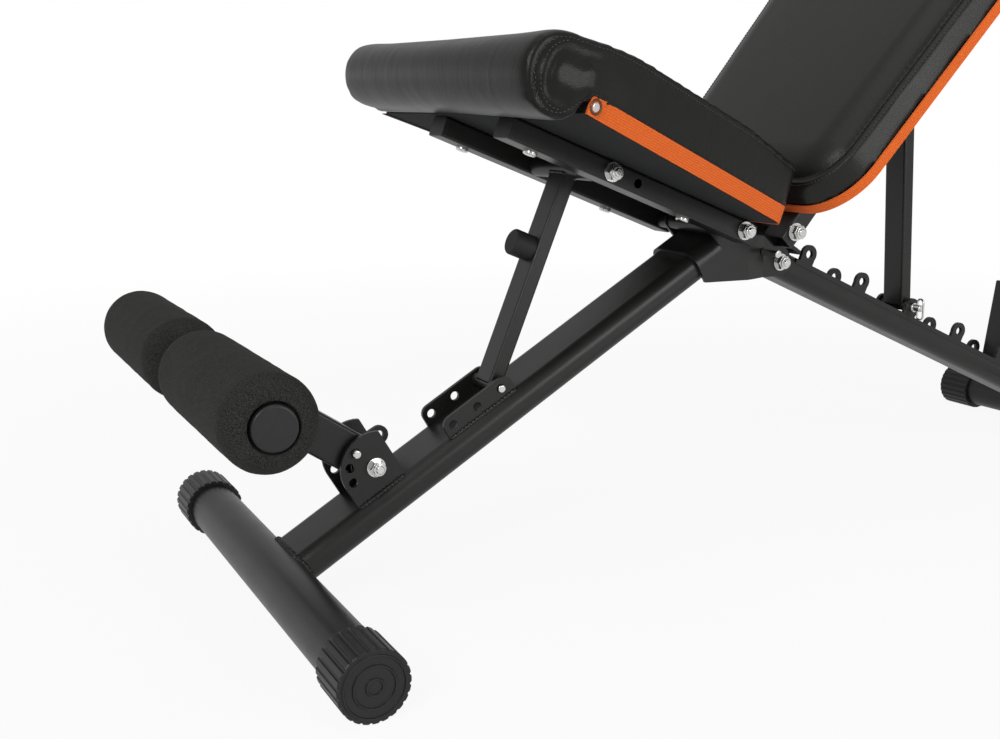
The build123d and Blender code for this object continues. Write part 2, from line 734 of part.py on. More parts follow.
def inset(pts, d):
    # same outline moved inward by d on every side
    out = []
    count = len(pts)
    for i in range(count):
        p, q, r = pts[i - 1], pts[i], pts[(i + 1) % count]
        ux, uy = q[0] - p[0], q[1] - p[1]
        vx, vy = r[0] - q[0], r[1] - q[1]
        lu, lv = hypot(ux, uy), hypot(vx, vy)
        n1 = (-uy / lu, ux / lu)
        n2 = (-vy / lv, vx / lv)
        k = d / (1 + n1[0] * n2[0] + n1[1] * n2[1])
        out.append((q[0] + (n1[0] + n2[0]) * k, q[1] + (n1[1] + n2[1]) * k))
    return out


def slab(pts, radii, n0, n1, draw=0.0):
    # plan outline raised between two heights, leaning in by the draw angle
    face = Pos(0, 0, n0) * outline(pts, radii)
    if draw:
        return extrude(face, n1 - n0, dir=(0, 0, 1), taper=draw)
    return extrude(face, n1 - n0, dir=(0, 0, 1))


def crown(a0, a1, half, n_low, n_side, rise):
    # long solid with a gently arched top
    edges = [
        Line((a0, -half, n_low), (a0, half, n_low)),
        Line((a0, half, n_low), (a0, half, n_side)),
        ThreePointArc((a0, half, n_side), (a0, 0, n_side + rise), (a0, -half, n_side)),
        Line((a0, -half, n_side), (a0, -half, n_low)),
    ]
    return extrude(make_face(Wire(edges)), a1 - a0, dir=(1, 0, 0))


UNDER = RAIL_H / 2 + PAD_GAP
ON_BOARD = UNDER + BOARD_T

# Seat

BOTH_RAILS = (-RAIL_Y, RAIL_Y)
seat_plan = [
    (SEAT_REAR, -SEAT_REAR_HALF),
    (SEAT_REAR, SEAT_REAR_HALF),
    (SEAT_SHOULDER, SEAT_FRONT_HALF),
    (SEAT_ROLL_AT - SEAT_ROLL_R, SEAT_FRONT_HALF - 2),
    (SEAT_ROLL_AT - SEAT_ROLL_R, -SEAT_FRONT_HALF + 2),
    (SEAT_SHOULDER, -SEAT_FRONT_HALF),
]
seat_radii = [16, 16, 30, 10, 10, 30]
seat_board_plan = seat_plan[:3] + seat_plan[-1:]
seat_board_radii = [16, 16, 10, 10]
SEAT_TAPER = degrees(atan2(SEAT_FRONT_HALF - SEAT_REAR_HALF, SEAT_REAR - SEAT_SHOULDER))
for name, yc in (("near", -RAIL_Y), ("far", RAIL_Y)):
    body = rail(SEAT_RAIL_FRONT, RAIL_END, yc, (0.0, SEAT_STRUT_AT, SEAT_SPARE_AT))
    NODES["seat_rail_" + name] = SEAT * screw_holes(body, SEAT_SCREWS, [yc], SCREW_R + BOLT_PLAY / 2)
NODES["seat_rail_plugs"] = [SEAT * rail_plug(SEAT_RAIL_FRONT, yc, -1) for yc in BOTH_RAILS]
board = slab(inset(seat_board_plan, BOARD_INSET), seat_board_radii, UNDER, ON_BOARD)
NODES["seat_board"] = SEAT * screw_holes(board, SEAT_SCREWS, BOTH_RAILS, SCREW_R)


def trim_band(pts, radii, n0, n1):
    # woven band round a cushion's lower edge
    grown = [r + TRIM_T for r in radii]
    return slab(inset(pts, -TRIM_T - TRIM_GAP), grown, n0, n1) - slab(inset(pts, -TRIM_GAP), radii, 0, n1 + 1)


def seat_top_line(count=10):
    # upper outline of the seat from its rear edge to the roll, with a gentle belly
    a0, n0 = SEAT_REAR + SEAT_OVERHANG - SEAT_EDGE_R, SEAT_TOP + SEAT_CROWN
    a1, n1 = SEAT_ROLL_AT, SEAT_ROLL_RISE + SEAT_ROLL_R
    line = []
    for i in range(1, count):
        t = i / count
        line.append((a0 + (a1 - a0) * t, n0 + (n1 - n0) * t + SEAT_BELLY * 4 * t * (1 - t)))
    return line


band_low = UNDER + TRIM_LIFT
seat_band_top = band_low + SEAT_TRIM_H
band_front = SEAT_SHOULDER + BAND_BACK
edge_a = SEAT_REAR + SEAT_OVERHANG - SEAT_EDGE_R
edge_n = SEAT_TOP + SEAT_CROWN - SEAT_EDGE_R
seat_side = [(SEAT_REAR + SEAT_OVERHANG, ON_BOARD)] + arc_pts(edge_a, edge_n, SEAT_EDGE_R, 0, 90, 6)
seat_side += seat_top_line()
seat_side += arc_pts(SEAT_ROLL_AT, SEAT_ROLL_RISE, SEAT_ROLL_R, 90, 290, 20)
seat_side += [(SEAT_SHOULDER, ON_BOARD)]
full_plan = inset(seat_plan, -SEAT_BULGE)
full_radii = [r + SEAT_BULGE for r in seat_radii]
seat_high = SEAT_TOP + SEAT_CROWN + 2 * SEAT_BELLY
seat_pad = prism(seat_side, -THROUGH, THROUGH) & slab(full_plan, full_radii, 0, seat_high, SIDE_DRAW)
seat_pad = seat_pad & crown(-2 * THROUGH, THROUGH, THROUGH, 0, SEAT_TOP + SEAT_BELLY, SEAT_CROWN)
# shallow bed for the band
bed = slab(inset(seat_plan, -3 * SEAT_BULGE), full_radii, 0, seat_band_top + TRIM_LIFT) - slab(
    seat_plan, seat_radii, -1, seat_band_top + 1
)
ahead = Pos(band_front - THROUGH, 0, 0) * Box(2 * THROUGH, 2 * THROUGH, THROUGH)
seat_pad -= bed - Pos(-TRIM_LIFT, 0, 0) * ahead
# sewn line along each side panel
drawn = SEAT_BULGE - SEAT_SEAM_N * tan(radians(SIDE_DRAW))
seam_y = (SEAT_FRONT_HALF + SEAT_REAR_HALF) / 2 + drawn / cos(radians(SEAT_TAPER))
seam = Rot(0, 90, 0) * Cylinder(SEAM_R, SEAT_REAR - SEAT_SHOULDER)
for sign in (-1, 1):
    place = Pos((SEAT_SHOULDER + SEAT_REAR) / 2, sign * seam_y, SEAT_SEAM_N)
    seat_pad -= place * Rot(0, 0, -sign * SEAT_TAPER) * seam
NODES["seat_pad"] = SEAT * seat_pad
NODES["seat_trim"] = SEAT * (trim_band(seat_plan, seat_radii, band_low, seat_band_top) - ahead)
rivets = []
rivet_a = band_front + RIVET_IN
rivet_half = SEAT_FRONT_HALF - (rivet_a - SEAT_SHOULDER) * tan(radians(SEAT_TAPER))
for sign in (-1, 1):
    y = rivet_half + (TRIM_T + TRIM_GAP + 0.02) / cos(radians(SEAT_TAPER))
    head = rod_y(0, 0, RIVET_R, 0, RIVET_H)
    head = fillet(head.edges().sort_by(Axis.Y)[-1], RIVET_H * 0.6)
    head = head if sign > 0 else head.mirror(Plane.XZ)
    place = Pos(rivet_a, sign * y, band_low + SEAT_TRIM_H / 2) * Rot(0, 0, -sign * SEAT_TAPER)
    rivets.append(SEAT * (place * head))
NODES["seat_rivets"] = rivets
NODES["seat_pad_screws"] = [SEAT * pad_screw(a, yc) for a in SEAT_SCREWS for yc in BOTH_RAILS]
TX, TZ = on(SEAT, SEAT_STRUT_AT, 0)
strut_bolt, strut_nut, strut_washers = fastener_set(TX, TZ, rail_out)
NODES["seat_strut_bolt"] = strut_bolt
NODES["seat_strut_nut"] = [strut_nut] + strut_washers

# Back

back_plan = [
    (BACK_LOW, BACK_LOW_HALF),
    (BACK_LOW, -BACK_LOW_HALF),
    (BACK_HIGH, -BACK_HIGH_HALF),
    (BACK_HIGH, BACK_HIGH_HALF),
]
back_radii = [BACK_CORNER] * 4
for name, yc in (("near", -RAIL_Y), ("far", RAIL_Y)):
    body = rail(-RAIL_END, BACK_RAIL_END, yc, (0.0, BACK_STRUT_AT))
    NODES["back_rail_" + name] = BACK * screw_holes(body, BACK_SCREWS, [yc], SCREW_R + BOLT_PLAY / 2)
NODES["back_rail_plugs"] = [BACK * rail_plug(BACK_RAIL_END, yc, 1) for yc in BOTH_RAILS]
board = slab(inset(back_plan, BOARD_INSET), [BACK_CORNER - BOARD_INSET] * 4, UNDER, ON_BOARD)
NODES["back_board"] = BACK * screw_holes(board, BACK_SCREWS, BOTH_RAILS, SCREW_R)
high = BACK_TOP + BACK_EDGE
back_pad = slab(back_plan, back_radii, ON_BOARD, high, BACK_DRAW)
# broken upper edge: a second outline that leans in at 45 degrees
lean = (BACK_TOP - BACK_EDGE - ON_BOARD) * (1 - tan(radians(BACK_DRAW)))
leaning = slab(inset(back_plan, -lean), [BACK_CORNER + lean] * 4, ON_BOARD, BACK_TOP + 1, 45.0)
back_pad = back_pad & leaning
back_pad = back_pad & crown(-THROUGH, 4 * THROUGH, THROUGH, 0, BACK_TOP - BACK_CROWN, BACK_CROWN)
toe_a = BACK_LOW + BACK_TOE_R + 2
toe = [(BACK_LOW - 5, ON_BOARD - 1), (BACK_HIGH + 5, ON_BOARD - 1), (BACK_HIGH + 5, high), (toe_a, high)]
toe += arc_pts(toe_a, BACK_TOP - BACK_TOE_R, BACK_TOE_R, 90, 180, 8)
back_pad = back_pad & prism(toe, -THROUGH, THROUGH)
groove_low = BACK_TOP - BACK_SEAM_D - BACK_CROWN / 2
inner = BACK_SEAM_IN + BACK_SEAM_W
groove = slab(inset(back_plan, BACK_SEAM_IN), [BACK_CORNER - BACK_SEAM_IN] * 4, groove_low, high) - slab(
    inset(back_plan, inner), [BACK_CORNER - inner] * 4, groove_low - 1, high + 1
)
NODES["back_pad"] = BACK * (back_pad - groove)
NODES["back_trim"] = BACK * trim_band(back_plan, back_radii, band_low, band_low + BACK_TRIM_H)
NODES["back_pad_screws"] = [BACK * pad_screw(a, yc) for a in BACK_SCREWS for yc in BOTH_RAILS]
UX, UZ = on(BACK, BACK_STRUT_AT, 0)
back_bolt, back_nut, back_washers = fastener_set(UX, UZ, rail_out)
NODES["back_strut_bolt"] = back_bolt
NODES["back_strut_nut"] = [back_nut] + back_washers

# Struts: cross sleeve at the top, rectangular tube, hook that drops over the pin


def strut_parts(top_x, top_z, pin_x, pin_z, hook_half):
    length = hypot(top_x - pin_x, top_z - pin_z)
    tilt = degrees(atan2(top_z - pin_z, top_x - pin_x))
    frame = tilted(pin_x, pin_z, tilt)
    base = Plane(origin=(0, 0, 0), x_dir=(0, 1, 0), z_dir=(1, 0, 0))
    tube, _ = oval_tube(base, STRUT_W, STRUT_D, STRUT_CORNER, STRUT_WALL, length)
    tube -= bore(0, 0, HOOK_R)
    tube -= bore(length, 0, STRUT_SLEEVE_R)
    sleeve = rod_y(length, 0, STRUT_SLEEVE_R, -tube_half, tube_half)
    sleeve -= bore(length, 0, BOLT_R + BOLT_PLAY)
    hook = rod_y(0, 0, HOOK_R, -hook_half, hook_half) - bore(0, 0, PIN_R + PIN_PLAY)
    return frame, tube, sleeve, hook


STEP_PIN_X, STEP_PIN_Z = front(STEP_S[2], STEP_N)
frame, tube, sleeve, hook = strut_parts(TX, TZ, STEP_PIN_X, STEP_PIN_Z, STEP_GAP_HALF - 1.2)
w = PIN_R + PIN_PLAY
mouth = [(-w, 0), (-w - SEAT_MOUTH_BELOW, -MOUTH_LEN), (w + SEAT_MOUTH_ABOVE, -MOUTH_LEN), (w, 0)]
relief = [(-w, -w), (2 * w, -w), (2 * w + 1.5, -MOUTH_LEN), (-w, -MOUTH_LEN)]
NODES["seat_strut_tube"] = frame * (tube - prism(relief, -THROUGH, THROUGH))
NODES["seat_strut_sleeve"] = frame * sleeve
NODES["seat_strut_hook"] = frame * (hook - prism(mouth, -THROUGH, THROUGH))
pad_face = Plane(origin=(BUMPER_AT, 0, STRUT_D / 2), z_dir=(0, 0, 1), x_dir=(1, 0, 0))
bumper = pad_face * Cylinder(BUMPER_R, BUMPER_LEN, align=(Align.CENTER, Align.CENTER, Align.MIN))
bumper = fillet(bumper.edges().sort_by(Axis.Z)[-1], BUMPER_R / 5)
NODES["strut_bumper"] = frame * bumper

LADDER_PIN_X, LADDER_PIN_Z = rear(LADDER_FIRST + LADDER_PIN_AT * LADDER_PITCH, LADDER_RISE)
frame, tube, sleeve, hook = strut_parts(UX, UZ, LADDER_PIN_X, LADDER_PIN_Z, LADDER_GAP_HALF - 0.8)
flare = w + BACK_MOUTH_FLARE
mouth = [(0, -w), (-MOUTH_LEN, -flare), (-MOUTH_LEN, flare), (0, w)]
NODES["back_strut_tube"] = frame * tube
NODES["back_strut_sleeve"] = frame * sleeve
NODES["back_strut_hook"] = frame * (hook - prism(mouth, -THROUGH, THROUGH))

# Lock pins, each with a rounded tip on the near side and a grip head on the far side


def lock_pin(x, z, y_tip, y_head):
    pin = rod_y(x, z, PIN_R, y_tip, y_head + PIN_HEAD_H / 2)
    pin = fillet(pin.edges().sort_by(Axis.Y)[0], PIN_R * 0.35)
    grip = rod_y(x, z, PIN_HEAD_R, y_head, y_head + PIN_HEAD_H)
    return pin + fillet(grip.edges().filter_by(GeomType.CIRCLE), PIN_HEAD_H * 0.25)


plate_out = STEP_GAP_HALF + PLATE_T
NODES["seat_strut_pin"] = lock_pin(STEP_PIN_X, STEP_PIN_Z, -plate_out - SEAT_PIN_TIP, plate_out + PIN_HEAD_GAP)
NODES["roller_arm_pin"] = lock_pin(ARM_PIN_X, ARM_PIN_Z, -plate_out - ARM_PIN_TIP, plate_out + PIN_HEAD_GAP)
NODES["fold_lock_pin"] = lock_pin(FOLD_PIN_X, FOLD_PIN_Z, -tail_out - FOLD_PIN_TIP, cheek_out + PIN_HEAD_GAP)

# Back strut pin: collar, then a stub with a hairpin clip through it as the pull

ladder_out = LADDER_GAP_HALF + PLATE_T
collar_y = -ladder_out - PIN_HEAD_GAP - COLLAR_H
stub_y = collar_y - STUB_LEN
clip_y = collar_y - STUB_LEN * 0.4
back_pin = rod_y(LADDER_PIN_X, LADDER_PIN_Z, PIN_R, stub_y, ladder_out + BACK_PIN_TIP)
back_pin = fillet(back_pin.edges().filter_by(GeomType.CIRCLE), PIN_R * 0.35)
back_pin += rod_y(LADDER_PIN_X, LADDER_PIN_Z, COLLAR_R, collar_y, collar_y + COLLAR_H)
clip_hole = Pos(LADDER_PIN_X, clip_y, LADDER_PIN_Z) * Cylinder(CLIP_R, 4 * PIN_R)
NODES["back_strut_pin"] = back_pin - clip_hole
clip_corner = (LADDER_PIN_X - CLIP_R, clip_y - CLIP_WIDE / 2, LADDER_PIN_Z - CLIP_R)
clip_plane = Plane(origin=clip_corner, x_dir=(0, 0, 1), z_dir=(1, 0, 0))
run = CLIP_TALL - CLIP_WIDE
outside = SlotCenterToCenter(run, CLIP_WIDE + 2 * CLIP_R)
inside = SlotCenterToCenter(run, CLIP_WIDE - 2 * CLIP_R)
clip = extrude(clip_plane * (outside - inside), 2 * CLIP_R)
clip = fillet(clip.edges().filter_by(Plane.YZ), CLIP_R * 0.8)
NODES["back_pin_clip"] = clip - (back_pin - clip_hole)

# Shift so that the middle of the bench's length lies at X = 0

MIDDLE = ((RX - FOAM_R) + (REAR_FOOT_X + CAP_R)) / 2
SHIFT = Pos(-MIDDLE, 0, 0)

for name, shape in NODES.items():
    solids = shape if isinstance(shape, list) else [shape]
    moved = [SHIFT * s for s in solids]
    export_step(moved[0] if len(moved) == 1 else Compound(children=moved), "parts/" + name + ".step")

# Key points, for the record

for label, x, z in (
    ("seat pivot", SEAT_PIVOT_X, SEAT_PIVOT_Z),
    ("back pivot", BACK_PIVOT_X, BACK_PIVOT_Z),
    ("fold hinge", HINGE_X, HINGE_Z),
    ("arm pivot", AX, AZ),
    ("roller axis", RX, RZ),
    ("seat strut top", TX, TZ),
    ("back strut top", UX, UZ),
    ("seat strut pin", STEP_PIN_X, STEP_PIN_Z),
    ("arm pin", ARM_PIN_X, ARM_PIN_Z),
    ("ladder pin", LADDER_PIN_X, LADDER_PIN_Z),
    ("fold pin", FOLD_PIN_X, FOLD_PIN_Z),
    ("spare lug", EAR_X, EAR_Z),
):
    print(label, round(x - MIDDLE, 3), round(z, 3))
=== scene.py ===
import json
import math

import bmesh
import bpy
import numpy as np
from mathutils import Matrix, Vector, noise
from mathutils.bvhtree import BVHTree


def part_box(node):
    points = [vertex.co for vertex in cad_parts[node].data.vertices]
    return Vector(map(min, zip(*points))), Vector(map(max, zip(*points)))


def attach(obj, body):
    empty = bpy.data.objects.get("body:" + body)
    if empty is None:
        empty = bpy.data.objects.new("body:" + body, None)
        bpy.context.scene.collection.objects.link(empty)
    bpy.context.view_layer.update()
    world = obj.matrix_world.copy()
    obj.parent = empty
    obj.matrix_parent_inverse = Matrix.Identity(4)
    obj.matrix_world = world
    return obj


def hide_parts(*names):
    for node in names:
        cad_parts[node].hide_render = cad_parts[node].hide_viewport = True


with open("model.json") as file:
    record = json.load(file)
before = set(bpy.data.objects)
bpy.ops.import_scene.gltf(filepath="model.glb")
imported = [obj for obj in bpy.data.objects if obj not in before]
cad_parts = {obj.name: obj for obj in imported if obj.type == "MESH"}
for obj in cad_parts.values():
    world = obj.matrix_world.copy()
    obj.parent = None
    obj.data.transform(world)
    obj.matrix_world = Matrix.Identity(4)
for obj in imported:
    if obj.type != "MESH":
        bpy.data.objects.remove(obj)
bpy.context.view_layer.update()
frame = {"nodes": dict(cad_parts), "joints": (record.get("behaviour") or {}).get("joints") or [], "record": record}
nodes = frame["nodes"]
scene = bpy.context.scene

# Camera at the viewing angle of the photograph: metres, degrees, and a focal length in picture widths
CAMERA_AT = (-0.83988, -1.0248, 0.4474)
CAMERA_HEADING = 27.37
CAMERA_DOWN = 12.24
CAMERA_ROLL = -0.43
FOCAL_WIDTHS = 1.1955

# Tilt of the seat, the back and the two legs at rest, in degrees
SEAT_TILT = 21.7
BACK_TILT = 48.5
FRONT_TILT = 30.05
REAR_TILT = 24.07

# Seat cushion, in metres along the rails from the seat's pivot and above the rails
SEAT_REAR = 0.0025
SEAT_SHOULDER = -0.288
SEAT_ROLL_AT = -0.314
SEAT_ROLL_RISE = 0.0375
SEAT_ROLL_R = 0.033
SEAT_REAR_HALF = 0.132
SEAT_FRONT_HALF = 0.206
SEAT_EDGE_AT = -0.0075
SEAT_EDGE_TOP = 0.069
SEAT_BELLY = 0.008
SEAT_SIDE_TOP = 0.0745
SEAT_BULGE = 0.003
SIDE_DRAW = math.tan(math.radians(2.0))
ROLL_DOME = 0.0045
ROLL_LEAN = 0.0267
ROLL_DROP = -0.0005
ROLL_SWELL = 0.06
BOARD_TOP = 0.0194
BOARD_UNDER = 0.0104
SEAT_VOXEL = 0.0045

# Settling of the seat's stuffed roll: where it starts, over what run, and how it clears the band
LEAN_START = -0.225
LEAN_RUN = 0.07
LEAN_CLEAR = 0.006
LEAN_RISE = 0.03
LEAN_AHEAD = 0.012

# Stuffed end panels of the roll
DOME_RIM = 0.012
DOME_EASE = 0.016
DOME_START = -0.235
DOME_RUN = 0.055

# Stuffing under the roll
THROAT_FRONT = -0.317
THROAT_GAP = 0.0007
THROAT_INSET = 0.0008

# Sewn lines of the seat: insets from the roll's edge, arcs in degrees round its end panel
END_ROWS = (0.0085, 0.013)
END_WELT = 0.0165
END_GROOVE = 0.020
END_ARC = (285, 95)
WELT_ARC = (270, 105)
SEAM_ARC = (290, 90)
EDGE_ROW = 0.006
SEAM_CLEAR = 0.003
SEAM_STEPS = 14
SEAM_DROP_RUN = 0.35
LINE_FADE = 0.012

# Woven band round the seat
BAND_FRONT = -0.283
BAND_LOW = 0.0109
BAND_TALL = 0.0165
BAND_OUT = 0.0019
RIVET_IN = 0.007
FOLD_LOW_RUN = 0.008
FOLD_HIGH_RUN = 0.017
FOLD_LEVELS = (0.00005, 0.0011)
RING_LEVEL = 0.0013

# Hem of the backing cloth, inside and outside the board's edge
HEM_IN = -0.008
HEM_OUT = BAND_OUT + 0.0004
HEM_LEVELS = (BOARD_UNDER - 0.0001, BOARD_UNDER - 0.0007)
HEM_FRONT = BAND_FRONT - 0.004
HEM_REAR = SEAT_REAR - 0.05

# Back cushion, from the back's pivot along its rails
BACK_LOW = 0.018
BACK_HIGH = 0.735
BACK_LOW_HALF = 0.152
BACK_HIGH_HALF = 0.196
BACK_CORNER = 0.058
RIM_START = 0.0035
RIM_END = 0.0135
RIM_TOP = 0.0450
RIM_RISE = 0.0012
PANEL_TOP = 0.0605
PANEL_EASE = 0.036
PANEL_POWER = 2.4
CROWN_FROM = 0.015
BACK_WALL = 0.030
BACK_ROWS = (RIM_START + 0.001, RIM_END)
BACK_VOXEL = 0.005

# Stuffing of the cushions, and the wall that stays against its band
CLOTH_FRAMES = 12
WALL_FADE = 0.008
WALL_PROUD = 0.0003

# Steel parts that the weld beads follow
FOOT_R = 0.025
LEG_TALL = 0.030
LEG_CORNER = 0.012
FRONT_LEG_WIDE = 0.070
REAR_LEG_WIDE = 0.050
LEG_MID = -0.004
PLATE_OUT = 0.0272
ROLLER_PLATE_RUN = (0.0957, 0.150)
STRUT_PLATE_RUN = (0.2044, 0.2868)
STRUT_WIDE = 0.030
STRUT_DEEP = 0.015
STRUT_CORNER = 0.0025
SLEEVE_R = 0.010
FOOT_BEAD = 0.003
PLATE_BEAD = 0.0023
STRUT_BEAD = 0.0016
BEAD_STEP = 0.0008
BEAD_RIPPLE = 0.0044

# Foam rollers
FOAM_R = 0.0374
FOAM_END_R = 0.017
FOAM_IN = 0.021
FOAM_OUT = 0.238
FOAM_BORE = 0.0113
FOAM_RIM = 0.0194
FOAM_RECESS = 0.005
FOAM_LIP = 0.0012
FOAM_STEPS = 60
FOAM_PITS = (0.00008, 500)
FOAM_WAVES = (0.0003, 60)

# Finishes
EDGE_BREAK = 0.0006
HIDE_RELIEF = 0.0014
WEAVE_RELIEF = 0.0004
# Orange of the webbing: the deep orange is painted shade in the grooves between the ribs, the lit orange a painted
# highlight on their crests
ORANGE_GROOVE_SHADE = (0.84, 0.125, 0.014)
ORANGE_LIT = (1.0, 0.2, 0.026)

# Share of the white surround that mirror rays see
MIRROR_SHARE = 0.6


# Frames and small tools


def joint_place(name):
    return Vector(next(j["pos_m"] for j in frame["joints"] if j["name"] == name))


def tilted_frame(origin, degrees):
    a = math.radians(degrees)
    along = (math.cos(a), 0, math.sin(a))
    up = (-math.sin(a), 0, math.cos(a))
    columns = zip(along, (0, 1, 0), up, origin)
    return Matrix([list(row) for row in columns] + [[0, 0, 0, 1]])


SEAT = tilted_frame(joint_place("seat_tilt"), -SEAT_TILT)
BACK = tilted_frame(joint_place("back_tilt"), BACK_TILT)


def add_mesh(name, verts, faces, material, body, smooth=True):
    mesh = bpy.data.meshes.new(name)
    mesh.from_pydata([tuple(v) for v in verts], [], faces)
    mesh.validate()
    for p in mesh.polygons:
        p.use_smooth = smooth
    obj = bpy.data.objects.new(name, mesh)
    scene.collection.objects.link(obj)
    mesh.materials.append(material)
    if body:
        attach(obj, body)
    return obj


def mesh_points(obj):
    co = np.empty(len(obj.data.vertices) * 3)
    obj.data.vertices.foreach_get("co", co)
    return co.reshape(-1, 3)


def set_points(obj, points):
    obj.data.vertices.foreach_set("co", np.asarray(points, np.float32).ravel())
    obj.data.update()


def to_local(matrix, points):
    m = np.array(matrix.inverted())
    return points @ m[:3, :3].T + m[:3, 3]


def to_world(matrix, points):
    m = np.array(matrix)
    return points @ m[:3, :3].T + m[:3, 3]


def resample(path, step, closed=False):
    # points at even steps along a path of local points
    pts = [Vector(p) for p in path]
    if closed:
        pts.append(pts[0])
    lengths = [0.0]
    for p, q in zip(pts, pts[1:]):
        lengths.append(lengths[-1] + (q - p).length)
    count = max(2, round(lengths[-1] / step))
    out = []
    i = 0
    for k in range(count if closed else count + 1):
        d = lengths[-1] * k / count
        while i < len(pts) - 2 and lengths[i + 1] < d:
            i += 1
        t = (d - lengths[i]) / max(lengths[i + 1] - lengths[i], 1e-9)
        out.append(pts[i].lerp(pts[i + 1], t))
    return out


# Shader groups


def new_group(name, inputs, outputs):
    tree = bpy.data.node_groups.new(name, "ShaderNodeTree")
    for label, kind, value in inputs:
        socket = tree.interface.new_socket(label, in_out="INPUT", socket_type=kind)
        socket.default_value = value
    for label, kind in outputs:
        tree.interface.new_socket(label, in_out="OUTPUT", socket_type=kind)
    start = tree.nodes.new("NodeGroupInput")
    end = tree.nodes.new("NodeGroupOutput")
    return tree, start, end


def node(tree, kind, **settings):
    n = tree.nodes.new(kind)
    for key, value in settings.items():
        setattr(n, key, value)
    return n


def maths(tree, operation, a, b):
    n = node(tree, "ShaderNodeMath", operation=operation)
    for socket, value in zip(n.inputs, (a, b)):
        if isinstance(value, (int, float)):
            socket.default_value = value
        else:
            tree.links.new(value, socket)
    return n.outputs[0]


def spread(tree, value, low, high):
    # map a 0 to 1 value between two sockets or numbers
    n = node(tree, "ShaderNodeMapRange")
    tree.links.new(value, n.inputs["Value"])
    for label, bound in (("To Min", low), ("To Max", high)):
        if isinstance(bound, (int, float)):
            n.inputs[label].default_value = bound
        else:
            tree.links.new(bound, n.inputs[label])
    return n.outputs["Result"]


def make_speckle():
    # fine and coarse noise with contrast, as a mask and a height
    inputs = [
        ("Fine Scale", "NodeSocketFloat", 900.0),
        ("Coarse Scale", "NodeSocketFloat", 40.0),
        ("Coarse Share", "NodeSocketFloat", 0.3),
        ("Contrast", "NodeSocketFloat", 2.0),
    ]
    tree, start, end = new_group(
        "speckle", inputs, [("Mask", "NodeSocketFloat"), ("Height", "NodeSocketFloat")]
    )
    place = node(tree, "ShaderNodeTexCoord").outputs["Object"]
    values = []
    for label, detail in (("Fine Scale", 3.0), ("Coarse Scale", 4.0)):
        tex = node(tree, "ShaderNodeTexNoise")
        tex.inputs["Detail"].default_value = detail
        tree.links.new(place, tex.inputs["Vector"])
        tree.links.new(start.outputs[label], tex.inputs["Scale"])
        values.append(tex.outputs["Fac"])
    coarse = maths(tree, "MULTIPLY", values[1], start.outputs["Coarse Share"])
    rest = maths(tree, "SUBTRACT", 1.0, start.outputs["Coarse Share"])
    both = maths(tree, "ADD", maths(tree, "MULTIPLY", values[0], rest), coarse)
    pushed = maths(tree, "MULTIPLY", maths(tree, "SUBTRACT", both, 0.5), start.outputs["Contrast"])
    n = node(tree, "ShaderNodeMath", operation="ADD", use_clamp=True)
    tree.links.new(pushed, n.inputs[0])
    n.inputs[1].default_value = 0.5
    tree.links.new(n.outputs[0], end.inputs["Mask"])
    tree.links.new(both, end.inputs["Height"])
    return tree


HEIGHT_AND_PAINTED_SHADE = [("Height", "NodeSocketFloat"), ("Painted Shade", "NodeSocketFloat")]


def make_hide_grain():
    # pebbled grain of embossed leatherette with soft pulled creases, and a tone that paints shade into the crease
    # hollows
    inputs = [
        ("Grain Scale", "NodeSocketFloat", 700.0),
        ("Crease Scale", "NodeSocketFloat", 16.0),
        ("Crease Share", "NodeSocketFloat", 0.3),
    ]
    tree, start, end = new_group("hide grain", inputs, HEIGHT_AND_PAINTED_SHADE)
    place = node(tree, "ShaderNodeTexCoord").outputs["Object"]
    cells = node(tree, "ShaderNodeTexVoronoi", feature="SMOOTH_F1")
    tree.links.new(place, cells.inputs["Vector"])
    tree.links.new(start.outputs["Grain Scale"], cells.inputs["Scale"])
    stretch = node(tree, "ShaderNodeMapping")
    stretch.inputs["Scale"].default_value = (1.0, 2.4, 1.0)
    tree.links.new(place, stretch.inputs["Vector"])
    crease = node(tree, "ShaderNodeTexNoise")
    crease.inputs["Detail"].default_value = 5.0
    crease.inputs["Distortion"].default_value = 0.8
    tree.links.new(stretch.outputs["Vector"], crease.inputs["Vector"])
    tree.links.new(start.outputs["Crease Scale"], crease.inputs["Scale"])
    fold = maths(tree, "MULTIPLY", crease.outputs["Fac"], start.outputs["Crease Share"])
    pebble = maths(tree, "MULTIPLY", cells.outputs["Distance"], 0.1)
    tree.links.new(maths(tree, "ADD", fold, pebble), end.inputs["Height"])
    # the crease noise also sets the colour: painted shade, darker in the crease hollows
    tree.links.new(crease.outputs["Fac"], end.inputs["Painted Shade"])
    return tree


